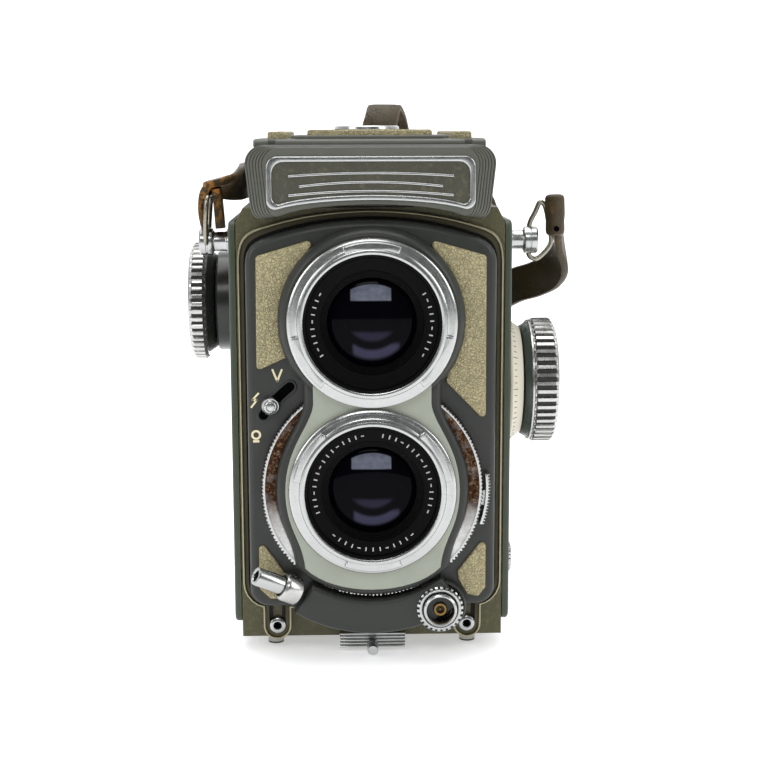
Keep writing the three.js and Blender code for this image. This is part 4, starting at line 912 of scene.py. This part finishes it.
def shrunk(points, by_x, by_z):
    """The block's outline drawn in towards its middle by unlike amounts sideways and upward."""
    middle = (PLATE_TOP + PLATE_CORNER) / 2
    half_x = max(abs(x) for x, z in points)
    half_z = max(abs(z - middle) for x, z in points)
    return [Vector((x * (1 - by_x / half_x), middle + (z - middle) * (1 - by_z / half_z))) for x, z in points]


outline = housing_outline()
ridge_x, ridge_z, ridge_up = 0.66, 0.10, 0.40
rings = [raised(shrunk(outline, 0, 0), FACE, height) for height in (23.3, PLATE_OUT - RIDGES * ridge_up - 0.12)]
rings.append(raised(shrunk(outline, 0.12, 0.08), FACE, PLATE_OUT - RIDGES * ridge_up + 0.02))
for k in range(RIDGES):
    height = PLATE_OUT - (RIDGES - k) * ridge_up
    by_x, by_z = ridge_x * k, ridge_z * k
    for x, z, up in ((0.30, 0.05, 0.06), (0.50, 0.08, -0.08), (0.58, 0.09, ridge_up - 0.10), (0.68, 0.12, ridge_up)):
        rings.append(raised(shrunk(outline, by_x + x, by_z + z), FACE, height + up))
bm = bmesh.new()
add_rings(bm, rings)
make_object("nameplate_block", bm, "camera_body", "grey_paint", ["nameplate_housing"], sharp=24)
border("nameplate_border", "camera_body", "satin_chrome", frame_outline(0.0), frame_outline(-1.25),
       PLATE_OUT - 0.3, PLATE_OUT + 0.42, 0.3, ["nameplate_frame"])
plate("nameplate_panel", "camera_body", "grey_paint", frame_outline(-1.0), FACE, PLATE_OUT - 0.3, PLATE_OUT + 0.04,
      material=wrinkle("panel_paint", srgb(58, 58, 46)), edge=0.03, steps=1)
# Three plain raised lines stand where a name would be.
for k, (half, height) in enumerate(((17.5, 107.6), (15.2, 105.7), (17.5, 103.8))):
    sag = 0.9 if k else 0.63
    line = [(half * u, -PLATE_OUT - 0.10, height - sag * u * u) for u in (i / 12 - 1 for i in range(25))]
    bm = bmesh.new()
    tube(bm, line, 0.28, 10)
    make_object(f"nameplate_line_{k}", bm, "camera_body", "satin_chrome")

# ---------- folded hood ----------
LID_PLATE = 114.8
FLAT = Matrix.Identity(4)
lid_top = box_mm("hood_lid")[1].z
leather_low, leather_high = box_mm("hood_lid_leather")


def rect(x0, x1, y0, y1, radius=1.0, steps=5):
    return curved([(x0, y0), (x1, y0), (x1, y1), (x0, y1)], radius, steps)


bm = bmesh.new()
slab(bm, rect(-25.4, 25.4, -21.8, 31.0, 2.0), FLAT, 112.9, LID_PLATE, edge=0.7, back_edge=0.2, steps=4)
slab(bm, rect(-17.2, 17.2, -21.4, 29.6, 1.6), FLAT, LID_PLATE - 0.3, lid_top, edge=0.5, steps=4)
hinge = basis((0, -24.0, 113.6), (1, 0, 0))
turned(bm, [(0, -20.3), (0.9, -20.3), (1.0, -20.1), (1.0, 20.1), (0.9, 20.3), (0, 20.3)], hinge, 24)
slab(bm, rect(-20.3, 20.3, -24.0, -21.2, 0.2, 2), FLAT, 113.1, 114.45, edge=0.3)
make_object("hood_lid_plate", bm, "hood_lid", "grey_paint", ["hood_lid"])
plate("hood_lid_panel", "hood_lid", "leatherette", rect(-13.6, 13.6, leather_low.y, leather_high.y, 1.2), FLAT,
      lid_top - 0.1, leather_high.z, ["hood_lid_leather"], edge=0.55, steps=4)
for word, inner, outer in (("left", -22.2, -17.8), ("right", 17.8, 22.2)):
    plate("hood_strip_" + word, "hood_lid", "leatherette", rect(inner, outer, -20.8, 29.4, 0.8), FLAT,
          LID_PLATE - 0.1, LID_PLATE + 1.5, edge=0.5)
badge = middle_mm("hood_badge")
z0, z1 = leather_high.z - 0.1, box_mm("hood_badge")[1].z
lathe("hood_medallion", "hood_lid", "satin_chrome",
      [(0, z0), (7.6, z0), (7.8, z0 + 0.2), (7.7, z1 - 0.25), (7.3, z1), (6.9, z1 - 0.08), (6.7, z1 - 0.3),
       (6.3, z1 - 0.34), (5.2, z1 - 0.30), (4.8, z1 - 0.08), (4.4, z1 - 0.02), (2.0, z1), (0, z1)],
      basis((badge.x, badge.y, 0), (0, 0, 1)), 96, ["hood_badge"])


# ---------- knobs ----------
def sideways(node, outward):
    """Matrix at a side piece's axis with z pointing away from the body."""
    middle = middle_mm(node)
    return basis((0, middle.y, middle.z), (outward, 0, 0))


def knurled(bm, at, radius, start, end, share):
    """A rim of 48 rounded bars; each takes that share of its pitch, and the rest is a groove."""
    count, per, depth = 48, 10, 0.8
    lifts = [min(1.0, math.sin(math.pi * k / per / share) * 2.2) if k / per < share else 0.0 for k in range(per)]
    layers = ((start, 0.9), (start + 0.25, 0.45), (start + 0.6, 0.0), (end - 0.7, 0.0), (end - 0.3, 0.35), (end, 0.95))
    rings = []
    for height, drop in layers:
        ring = []
        for i in range(count * per):
            angle = 2 * math.pi * i / (count * per)
            r = radius - depth + max(0.0, depth * lifts[i % per] - drop)
            ring.append(at @ Vector((r * math.cos(angle), r * math.sin(angle), height)))
        rings.append(ring)
    add_rings(bm, rings)


# Left side: film advance.
left = sideways("advance_hub", -1)
rim_r, hub_r = width_mm("advance_knob", 2) / 2, width_mm("advance_hub", 2) / 2
lathe("advance_hub_drum", "camera_body", "grey_paint",
      [(0, 31.2), (hub_r + 0.25, 31.2), (hub_r + 0.25, 31.9), (hub_r, 32.1), (hub_r, 35.7), (hub_r - 0.3, 36.1),
       (0, 36.1)],
      left, 96, ["advance_hub"], paint("hub_paint", srgb(30, 33, 30), 0.24, wear=0.3, coat=0.4))
lathe("advance_flank", "film_advance", "black_metal",
      [(0, 36.4), (10.9, 36.4), (11.3, 36.6), (12.4, 38.3), (12.4, 38.9), (0, 38.9)],
      left, 96, (), plain("flank_black", (0.015, 0.016, 0.015), 0.3))
lathe("advance_grooves", "film_advance", "black_metal", rod(rim_r - 0.5, 38.55, 41.7), left, 96, (), groove_dark)
bm = bmesh.new()
knurled(bm, left, rim_r, 38.5, 42.1, 0.68)
turned(bm, [(0, 41.6), (rim_r - 0.9, 41.6), (rim_r - 0.9, 42.1), (rim_r - 1.3, 42.5), (rim_r - 2.2, 42.6), (9.6, 42.6),
            (9.2, 42.2), (7.6, 42.1), (7.2, 42.35), (3.2, 42.45), (0, 42.5)], left)
turned(bm, rod(2.5, 26.0, 37.0), left, 32)
make_object("advance_rim", bm, "film_advance", "polished_aluminium", ["advance_knob"])

# Right side: focusing.
right = sideways("focus_knob", 1)
rim_r = width_mm("focus_knob", 2) / 2
lathe("focus_scale_cone", "focus_knob", "cream_scale",
      [(2.9, 31.3), (14.1, 31.3), (14.2, 31.5), (14.2, 31.9), (12.5, 34.4), (2.9, 34.4)],
      right, 96, ["focus_scale_skirt"], closed=True)
bm = bmesh.new()
for i in range(60):
    outward, along = round_place(2 * math.pi * i / 60)
    slope = (outward * -1.7 + Vector((0, 0, 2.5))).normalized()
    mark = quad(outward * 13.75 + Vector((0, 0, 32.55)), along, slope, 0.1, 0.34 if i % 5 else 0.62)
    add_rings(bm, [[right @ (p + outward * lift) for p in mark] for lift in (-0.05, 0.05)])
make_object("focus_scale_marks", bm, "focus_knob", "cream_scale", (), plain("mark_ink", (0.16, 0.16, 0.15), 0.5))
lathe("focus_flank", "focus_knob", "grey_paint",
      [(2.9, 34.8), (12.0, 34.8), (12.6, 34.9), (13.4, 36.2), (13.4, 36.7), (2.9, 36.7)],
      right, 96, (), paint("flank_green", srgb(60, 70, 62), 0.3, wear=0.2, coat=0.3), closed=True)
lathe("focus_grooves", "focus_knob", "black_metal", rod(rim_r - 0.5, 37.3, 41.7, 2.9), right, 96,
      (), groove_dark, closed=True)
bm = bmesh.new()
turned(bm, [(2.9, 36.3), (13.75, 36.3), (13.9, 36.45), (13.9, 36.8), (13.75, 36.95), (2.9, 36.95)], right, closed=True)
knurled(bm, right, rim_r, 36.9, 42.1, 0.6)
turned(bm, [(0, 41.6), (rim_r - 0.9, 41.6), (rim_r - 0.9, 42.0), (rim_r - 1.3, 42.45), (rim_r - 2.4, 42.6), (10.0, 42.6),
            (9.6, 42.25), (7.8, 42.15), (7.4, 42.4), (3.0, 42.5), (0, 42.55)], right)
make_object("focus_rim", bm, "focus_knob", "polished_aluminium", ["focus_knob"])

# Pull knobs of the spool pins, on the right side.
PULL = [(0, 22.4), (1.3, 22.4), (1.5, 22.6), (1.5, 26.0), (2.2, 26.0), (2.2, 31.4), (3.3, 31.4), (3.6, 31.6),
        (3.6, 32.2), (3.3, 32.5), (3.3, 32.9), (3.6, 33.2), (3.6, 33.5), (3.3, 33.9), (2.2, 33.9), (1.8, 33.6),
        (0, 33.6)]
for node in ("spool_pin_upper", "spool_pin_lower"):
    lathe(node + "_turned", node, "satin_chrome", PULL, sideways(node, 1), 64, [node],
          wave=lambda angle, i: 0.10 * math.cos(24 * angle) if 8 <= i <= 13 else 0.0)

# ---------- strap studs and bails ----------
STUD = [(0, 31.3), (3.4, 31.3), (3.4, 31.7), (3.1, 32.2), (2.4, 32.4), (2.2, 32.8), (2.2, 35.2), (2.5, 35.5),
        (3.0, 35.6), (3.1, 35.9), (3.1, 36.7), (2.9, 36.8), (2.9, 37.1), (3.1, 37.2), (3.1, 38.3),
        (2.8, 38.65), (0, 38.7)]
BAILS = {
    "left": [
        (-36.9, -9.6, 91.6), (-36.9, -6, 91.6), (-36.9, -2.4, 91.6), (-36.8, -0.8, 95.6), (-36.4, -0.6, 100.8),
        (-36.3, -1.8, 102.0), (-36.3, -6, 102.2), (-36.3, -10.2, 102.0), (-36.4, -11.4, 100.8), (-36.8, -11.2, 95.6),
    ],
    "right": [
        (36.9, -6, 95.2), (36.9, -6, 91.6), (36.9, -6, 88.0), (38.4, -6, 87.2), (41.2, -6, 89.6), (41.9, -6, 91.2),
        (41.3, -6, 95.2), (40.2, -6, 99.6), (39.3, -6, 100.2), (38.2, -6, 98.0),
    ],
}
for side, word in ((-1, "left"), (1, "right")):
    node = "strap_stud_" + word
    lathe("stud_turned_" + word, "camera_body", "satin_chrome", STUD, sideways(node, side), 72, [node])
for word, points in BAILS.items():
    bm = bmesh.new()
    tube(bm, spline(points, 8, closed=True), 0.55, 14, loop=True)
    make_object("bail_wire_" + word, bm, "camera_body", "steel_wire", ["strap_bail_" + word])

# ---------- trim, screws, body plates ----------
TRIM_OUT = 25.2
SCREW_X, SCREW_Z = 21.4, 6.2


def trim_outline(offset, radius):
    """Line of the trim: round the standard, and down round each corner screw."""
    bottom = STANDARD_FOOT - offset
    corner = STANDARD_CORNER + offset
    centre_x, centre_z = STANDARD_HALF + offset - corner, bottom + corner
    outer_x = SCREW_X + radius
    # The outer side of the pocket climbs to where it meets the standard's rounded corner.
    meet_z = centre_z - math.sqrt(max(corner * corner - (outer_x - centre_x) ** 2, 0.0))
    start = math.degrees(math.atan2(meet_z - centre_z, outer_x - centre_x))
    pocket = [(SCREW_X - radius, bottom)] + arc(SCREW_X, SCREW_Z, radius, 180, 360, 14) + [(outer_x, meet_z)]
    pocket += arc(centre_x, centre_z, corner, start, 0, 5)[1:]
    sides = [p for p in standard_outline(offset) if p[1] > centre_z + 0.5]
    return pocket + sides + [(-x, z) for x, z in reversed(pocket)]


border("trim_line", "camera_body", "bare_aluminium", trim_outline(1.85, 3.15), trim_outline(1.4, 2.7),
       23.7, TRIM_OUT - 0.1, 0.18, ["front_trim"])
border("trim_bed", "camera_body", "bare_aluminium", trim_outline(1.41, 2.71), trim_outline(0.5, 1.8),
       23.62, 24.5, 0.12, (), paint("bronze_paint", srgb(72, 68, 48), 0.45, wear=0.5, coat=0.0))
# A near black band in the gap round the standard: painted shadow.
border("trim_shadow_gap", "camera_body", "black_metal", trim_outline(0.55, 1.85), trim_outline(-0.3, 1.0),
       23.62, 23.75, 0.04, (), plain("painted_gap_shadow", srgb(14, 14, 11), 0.7))

SCREW = [(0, 23.7), (1.95, 23.7), (1.95, 24.3), (1.75, 24.75), (1.3, 25.0), (1.0, 25.0), (0.85, 24.8), (0.8, 24.1),
         (0, 24.1)]
for side, word in ((-1, "left"), (1, "right")):
    at = on_face(side * SCREW_X, SCREW_Z)
    lathe("screw_" + word, "camera_body", "satin_chrome", SCREW, at, 48, ["corner_screw_" + word])
    lathe("screw_socket_" + word, "camera_body", "black_metal", rod(0.78, 24.0, 24.2), at, 32, (), dark_hole)
for side, word in ((-1, "left"), (1, "right")):
    # Side plate: x and y of its matrix lie along the side, and z points outwards.
    node = "side_cover_" + word
    low, high = box_mm(node)
    y0, y1 = (low.y, high.y) if side > 0 else (-high.y, -low.y)
    outwards = Matrix(((0, 0, side, 0), (side, 0, 0, 0), (0, 1, 0, 0), (0, 0, 0, 1)))
    plate("side_plate_" + word, "camera_body", "cover_paint", rect(y0, y1, low.z, high.z, 2.6, 8), outwards,
          29.45, max(high.x, -low.x), [node], edge=0.7, back_edge=0.1, steps=5)
    # Four small countersunk screws hold each plate.
    places = ((low.y + 4, low.z + 4), (high.y - 4, low.z + 4), (low.y + 4, high.z - 12), (high.y - 4, high.z - 4))
    for k, (y, z) in enumerate(places):
        at = basis((0, y, z), (side, 0, 0))
        lathe(f"plate_screw_{word}_{k}", "camera_body", "satin_chrome",
              [(0, 30.2), (1.5, 30.2), (1.5, 30.98), (1.35, 31.06), (0, 31.1)], at, 36)
        plate(f"plate_screw_slot_{word}_{k}", "camera_body", "black_metal",
              [(-1.25, -0.17), (1.25, -0.17), (1.25, 0.17), (-1.25, 0.17)], at @ Matrix.Rotation(0.6 + k, 4, "Z"),
              31.0, 31.13, material=dark_hole, edge=0.02, steps=1)

# ---------- back door ----------
REAR = Matrix(((-1, 0, 0, 0), (0, 0, 1, 0), (0, 1, 0, 0), (0, 0, 0, 1)))
low, high = box_mm("back_door_leather")
plate("door_panel", "back_door", "leatherette", rect(low.x, high.x, low.z, high.z, 3.0, 8), REAR, low.y - 0.35, high.y,
      ["back_door_leather"], edge=0.35)
for word, x, y, r in (("front_left", -22.1, -17.2, 1.8), ("front_right", 22.1, -17.2, 1.8),
                      ("rear_left", -22, 26, 2.4), ("rear_right", 22, 26, 2.4)):
    lathe("foot_" + word, "back_door", "satin_chrome",
          [(0, 0.0), (r - 0.45, 0.0), (r - 0.1, 0.18), (r + 0.04, 0.5), (r + 0.04, 2.7), (r + 0.3, 3.0),
           (r + 0.3, 3.38), (0, 3.38)], basis((x, y, 0), (0, 0, 1)), 40)

# Ribbed latch tab with its round peg.
TAB_LOW, TAB_TOP, TAB_OUT, TAB_RIBS = 1.0, 4.7, 26.0, 5
pitch = (TAB_TOP - TAB_LOW) / TAB_RIBS
profile = [(24.2, TAB_LOW), (24.2, TAB_TOP)]
for i in range(TAB_RIBS):
    z = TAB_TOP - i * pitch
    profile += [(25.5, z), (25.85, z - 0.08), (26.0, z - 0.22), (26.0, z - 0.42), (25.85, z - 0.56),
                (25.5, z - pitch + 0.08)]
rings = []
for x, squeeze in ((-7.4, 0.15), (-7.25, 0.0), (7.25, 0.0), (7.4, 0.15)):
    rings.append([Vector((x, -min(y, TAB_OUT - squeeze), min(max(z, TAB_LOW + squeeze), TAB_TOP - squeeze)))
                  for y, z in profile])
bm = bmesh.new()
add_rings(bm, rings)
make_object("latch_tab", bm, "back_latch", "satin_chrome", ["back_latch"])
lathe("latch_peg", "back_latch", "satin_chrome",
      [(0, 25.0), (1.25, 25.0), (1.25, 29.7), (1.0, 30.0), (0, 30.0)], basis((0, 0, 1.9), (0, -1, 0)), 48)


# ---------- shutter ring, levers ----------
def chrome_painted_reflection(name):
    """Chrome with a painted reflection: brown and pitted high up, near white low down, with a ragged change between."""
    n = Nodes(name)
    spots = n.spots(0.5, 5.0, 0.75, 0.50, 0.66)
    # Painted reflection by height: near white low on the ring, spotted dark brown higher up.
    inputs = {"Value": n.xyz()["Z"], "From Min": 26.0 * MM, "From Max": 37.0 * MM}
    fade = n.node("MapRange", (), inputs).outputs["Result"]
    ragged = n.times(n.minus(n.noise(3.0, 4.0), 0.5), 0.5)
    painted_reflection_mix = n.math("ADD", fade, ragged)
    base = n.mix(painted_reflection_mix, (0.95, 0.95, 0.93), n.mix(spots, srgb(44, 26, 16), srgb(120, 96, 72)))
    rough = n.ramp(painted_reflection_mix, (0.2, 0.22), (0.8, 0.34))
    return n.finish(base, rough, n.math("ADD", painted_reflection_mix, 0.35), n.bump(spots, 0.01, 0.5))


TEETH = 180
ring_at = on_face(0, TAKING_Z)


def teeth_wave(count, share, up, down, first, last):
    """Square teeth on the profile points from first to last."""
    def wave(angle, index):
        if not first <= index <= last:
            return 0.0
        return up if (angle * count / (2 * math.pi)) % 1.0 < share else down
    return wave


low, high = box_mm("shutter_ring")
inner_r, h0, h1 = 19.85, -high.y, -low.y
lathe("speed_ring", "shutter_ring", "satin_chrome",
      [(inner_r, h0), (SPEED_R - 0.8, h0), (SPEED_R - 0.5, h0 + 0.1), (SPEED_R - 0.22, h0 + 0.25),
       (SPEED_R - 0.2, h1 - 0.35), (SPEED_R - 0.35, h1 - 0.1), (SPEED_R - 0.75, h1),
       (SPEED_R - 1.0, h1 - 0.05), (SPEED_R - 1.3, h1 - 0.22),
       (inner_r + 0.3, h1 - 0.30), (inner_r, h1 - 0.4)],
      ring_at, TEETH * 4, ["shutter_ring"], chrome_painted_reflection("speed_ring_chrome"), 40, closed=True,
      wave=teeth_wave(TEETH, 0.5, 0.20, -0.20, 3, 5))
lathe("speed_ring_edge", "shutter_ring", "satin_chrome",
      [(SPEED_R - 0.95, h1 - 0.02), (SPEED_R - 0.45, h1 - 0.02), (SPEED_R - 0.40, h1 + 0.04), (SPEED_R - 0.6, h1 + 0.1),
       (SPEED_R - 0.9, h1 + 0.06)], ring_at, TEETH * 4, closed=True, wave=teeth_wave(TEETH, 0.5, 0.10, -0.10, 1, 2))

ARC_FROM, ARC_SWEEP, ARC_TEETH = -19, 26.4, 17
TOOTH = ((0.0, 25.32), (0.22, 25.35), (0.36, 25.72), (0.64, 25.75), (0.78, 25.35))
teeth = [polar(r, ARC_FROM + ARC_SWEEP * (i + share) / ARC_TEETH) for i in range(ARC_TEETH) for share, r in TOOTH]
teeth += [polar(24.75, ARC_FROM + ARC_SWEEP - ARC_SWEEP * i / 12) for i in range(13)]
bm = bmesh.new()
slab(bm, teeth, FACE, 30.3, 32.6, edge=0.12, steps=2)
slab(bm, band(25.2, 20.6, -10, -2, 4), FACE, 30.3, 30.85, edge=0.1, steps=1)
turned(bm, rod(21.2, 30.35, 30.85, 19.85), ring_at, closed=True)
make_object("aperture_arc", bm, "aperture_lever", "satin_chrome", ["aperture_lever"])

SLOT_R, SLOT_FROM, SLOT_TO, SYNC_AT = 28.5, 128.5, 145.6, 140.2


def slot_outline(half_width):
    """Curved slot with round ends, about the taking axis."""
    points = []
    for reach, first, last, turn in ((half_width, SLOT_FROM, SLOT_TO, 0), (-half_width, SLOT_TO, SLOT_FROM, 180)):
        points += arc(0, TAKING_Z, SLOT_R + reach, first, last)
        points += arc(*polar(SLOT_R, last), half_width, last + turn, last + turn + 180, 9)[1:-1]
    return points


plate("sync_slot", "front_standard", "black_metal", slot_outline(1.0), FACE, STANDARD_OUT - 0.5, STANDARD_OUT + 0.05,
      material=dark_hole, edge=0.02, steps=1)
border("sync_slot_rim", "front_standard", "charcoal_paint", slot_outline(1.55), slot_outline(1.02),
       STANDARD_OUT - 0.3, STANDARD_OUT + 0.28, 0.22)
bm = bmesh.new()
turned(bm, [(0, 28.0), (0.9, 28.0), (0.9, 30.8), (1.9, 30.9), (2.05, 31.1), (2.0, 31.5), (1.75, 31.85), (1.55, 31.8),
            (1.4, 32.1), (1.1, 32.3), (0.95, 32.22), (0.8, 32.42), (0.45, 32.5), (0, 32.5)],
       on_face(*polar(SLOT_R, SYNC_AT)), 56)
LEVER_ANGLES = (137.4, 139, 141, 143.0)
lever = [polar(29.3, a) for a in LEVER_ANGLES] + [polar(14.5, a) for a in reversed(LEVER_ANGLES)]
slab(bm, lever, FACE, 27.4, 28.3, edge=0.05, steps=1)
make_object("sync_knob", bm, "sync_lever", "satin_chrome", ["sync_lever"])


def stroke(name, place, points, width):
    """A flat painted line on the face of the standard, about a place."""
    bm = bmesh.new()
    points = [Vector(place) + Vector(p) for p in points]
    for a, b in zip(points, points[1:]):
        along = (b - a).normalized()
        side = Vector((-along.y, along.x)) * (width / 2)
        reach = along * (width * 0.35)
        corners = [a - reach - side, b + reach - side, b + reach + side, a - reach + side]
        add_rings(bm, [raised(corners, FACE, h) for h in (STANDARD_OUT - 0.03, STANDARD_OUT + 0.05)])
    make_object(name, bm, "front_standard", "charcoal_paint", (), cream_ink)


# Common symbols for delay, flash and bulb beside the lever.
stroke("mark_delay", polar(SLOT_R + 3.6, 129.6), [(-1.0, 1.3), (0, -1.2), (1.0, 1.3)], 0.42)
stroke("mark_flash", polar(SLOT_R + 3.4, 142.6), [(0.75, 1.5), (-0.55, 0.1), (0.45, 0.1), (-0.8, -1.5)], 0.40)
sx, sz = polar(SLOT_R - 0.9, 156.0)
lathe("mark_bulb_ring", "front_standard", "charcoal_paint",
      rod(1.08, STANDARD_OUT - 0.1, STANDARD_OUT + 0.06, 0.62),
      on_face(sx, sz + 0.5), 32, (), cream_ink, closed=True)
stroke("mark_bulb_base", (sx, sz), [(-0.5, -0.9), (0.5, -0.9)], 0.5)

# ---------- release ----------
release = basis((-18.0, -32.8, 17.25), (-7.55, -3.2, 4.06))
lathe("release_ferrule", "front_standard", "polished_aluminium",
      [(2.35, -1.5), (3.1, -1.5), (3.2, -1.2), (3.2, 1.6), (3.05, 2.2), (2.75, 2.5), (2.45, 2.5), (2.35, 2.3)],
      release, 72, ["release_collar"], closed=True)
lathe("release_plunger", "release_button", "satin_chrome",
      [(0, 1.2), (2.05, 1.2), (2.05, 8.7), (1.9, 9.05), (1.6, 9.15), (1.35, 9.1), (1.2, 8.9), (1.15, 7.0), (0, 7.0)],
      release, 64, ["release_button"])
lathe("release_thread", "release_button", "black_metal", rod(1.12, 6.95, 7.1), release, 32, (), dark_hole)

# ---------- flash socket ----------
LOCK_TEETH = 26
at = on_face(SOCKET_X, SOCKET_Z)
lathe("flash_socket_shell", "front_standard", "satin_chrome",
      [(0, 30.3), (3.7, 30.3), (3.7, 34.9), (3.6, 35.25), (3.35, 35.4), (3.1, 35.35), (2.95, 35.1), (2.85, 34.6),
       (2.8, 32.3), (0, 32.3)], at, 72, ["flash_socket"])
lathe("flash_socket_floor", "front_standard", "black_metal", rod(2.75, 32.28, 32.5), at, 48, (), black_ring)
bm = bmesh.new()
pin_wall = [(0.75, 32.3), (1.45, 32.3), (1.5, 32.6), (1.5, 34.1), (1.35, 34.35), (0.95, 34.35), (0.8, 34.1)]
turned(bm, pin_wall, at, 48, closed=True)
turned(bm, [(0, 32.3), (0.42, 32.3), (0.42, 33.6), (0.2, 33.9), (0, 33.95)], at, 32)
make_object("flash_contact", bm, "front_standard", "satin_chrome", (), metal("brass_contact", srgb(128, 104, 60), 0.3))
lathe("flash_lock_toothed", "flash_lock_ring", "satin_chrome",
      [(4.0, 31.6), (4.6, 31.6), (4.8, 31.7), (4.85, 31.9), (4.8, 34.0), (4.55, 34.35), (4.2, 34.4), (4.0, 34.3)],
      at, LOCK_TEETH * 8, ["flash_lock_ring"], None, 40, closed=True,
      wave=teeth_wave(LOCK_TEETH, 0.55, 0.30, -0.14, 2, 4))
lathe("flash_socket_pocket", "front_standard", "charcoal_paint",
      [(0, 30.0), (5.9, 30.0), (5.9, 31.9), (5.6, 32.3), (5.45, 32.35), (5.4, 31.2), (0, 31.2)], at, 72)

# ---------- strap ends at the bails ----------
# Left: the end is folded through the bail, and its short tongue hangs inside the loop.
FOLD = [(-35.4, -6.0, 104.6), (-36.6, -6.2, 104.2), (-37.6, -6.4, 102.6), (-38.0, -6.6, 99.0), (-37.4, -6.8, 95.2),
        (-36.8, -7.0, 93.6)]
FOLD_FACING = [(-0.2, 0, 1), (-0.6, 0, 0.9), (-1, 0, 0.3), (-1, 0, 0), (-1, 0, -0.2), (-1, 0, -0.2)]
TONGUE = [(-34.6, -6.0, 103.6), (-34.3, -6.0, 101.0), (-34.0, -6.3, 97.4), (-33.8, -6.4, 94.6)]
TONGUE_FACING = [(1, 0, 0.2), (1, 0, 0), (1, 0, 0), (1, 0, 0)]
leather("strap_fold_left", spline(FOLD, 6), spline(FOLD_FACING, 6), 7.6, 1.3)
leather("strap_tongue_left", spline(TONGUE, 6), spline(TONGUE_FACING, 6), 7.2, 2.0)

# Right: a leather tube wraps the bail's outer bar, with the strap coming out below it.
tube_low, tube_top = Vector((42.8, -6.3, 92.9)), Vector((42.5, -6.6, 101.9))
reach = (tube_top - tube_low).length
lathe("strap_tube_right", "camera_body", "strap_leather",
      [(0, -0.4), (1.5, -0.3), (2.05, 0.1), (2.2, 0.9), (2.15, 3.0), (2.3, reach * 0.5), (2.25, reach - 1.0),
       (2.05, reach - 0.3), (1.5, reach), (0, reach + 0.1)], basis(tube_low, tube_top - tube_low), 40)
lathe("strap_tube_hole", "camera_body", "strap_leather", rod(0.62, 0, 2.35),
      basis((42.78, -6.4, 94.2), (0, -1, 0)), 24, (), dark_hole)


# ---------- floor, light ----------
def stage_set():
    """A pale floor that bends up into a wall behind the camera."""
    bend = [math.radians(a) for a in range(0, 91, 10)]
    profile = [(y, 0.0) for y in range(-900, 600, 150)]
    profile += [(600 + 500 * math.sin(a), 500 - 500 * math.cos(a)) for a in bend] + [(1100, 1500.0)]
    bm = bmesh.new()
    rows = [[bm.verts.new((x, y, z - 0.02)) for x in (-1600, 1600)] for y, z in profile]
    for low, high in zip(rows, rows[1:]):
        bm.faces.new((low[0], low[1], high[1], high[0]))
    floor = mesh_object("floor", bm)
    n = Nodes("pale_floor")
    base = n.mix(n.noise(60.0, 2.0), (0.90, 0.90, 0.92), (0.93, 0.93, 0.945))
    n.finish(base, 0.5, Emission_Color=(1.0, 1.0, 1.0, 1.0), Emission_Strength=0.42)
    floor.data.materials.append(n.material)


def softbox(name, place, target, width, height, power):
    data = bpy.data.lights.new(name, "AREA")
    data.shape = "RECTANGLE"
    data.size = width
    data.size_y = height
    data.energy = power
    light = bpy.data.objects.new(name, data)
    scene.collection.objects.link(light)
    aim = Vector(target) - Vector(place)
    light.rotation_mode = "QUATERNION"
    light.location = place
    light.rotation_quaternion = aim.to_track_quat("-Z", "Y")


def surroundings():
    """Soft light from all round, weaker from in front."""
    world = bpy.data.worlds.new("world")
    scene.world = world
    world.use_nodes = True
    sky = world.node_tree
    background = sky.nodes["Background"]
    place = sky.nodes.new("ShaderNodeTexCoord")
    split = sky.nodes.new("ShaderNodeSeparateXYZ")
    fade = sky.nodes.new("ShaderNodeMapRange")
    for key, value in (("From Min", -0.75), ("From Max", 0.35), ("To Min", 0.16), ("To Max", 0.85)):
        fade.inputs[key].default_value = value
    sky.links.new(place.outputs["Generated"], split.inputs[0])
    sky.links.new(split.outputs["Y"], fade.inputs["Value"])
    sky.links.new(fade.outputs["Result"], background.inputs["Strength"])
    background.inputs["Color"].default_value = (0.97, 0.98, 1.0, 1.0)


stage_set()
softbox("overhead", (0.0, 0.15, 1.1), (0.0, 0.05, 0.0), 1.0, 1.0, 8.5)
softbox("left_box", (-1.0, -0.70, 0.60), (0.0, 0.0, 0.06), 0.5, 0.8, 5.0)
softbox("right_box", (1.0, -0.60, 0.60), (0.0, 0.0, 0.06), 0.5, 0.8, 5.0)
softbox("front_fill", (-0.1, -1.2, 0.95), (0.0, 0.0, 0.06), 0.6, 0.3, 3.2)
surroundings()
scene.view_settings.view_transform = "Standard"
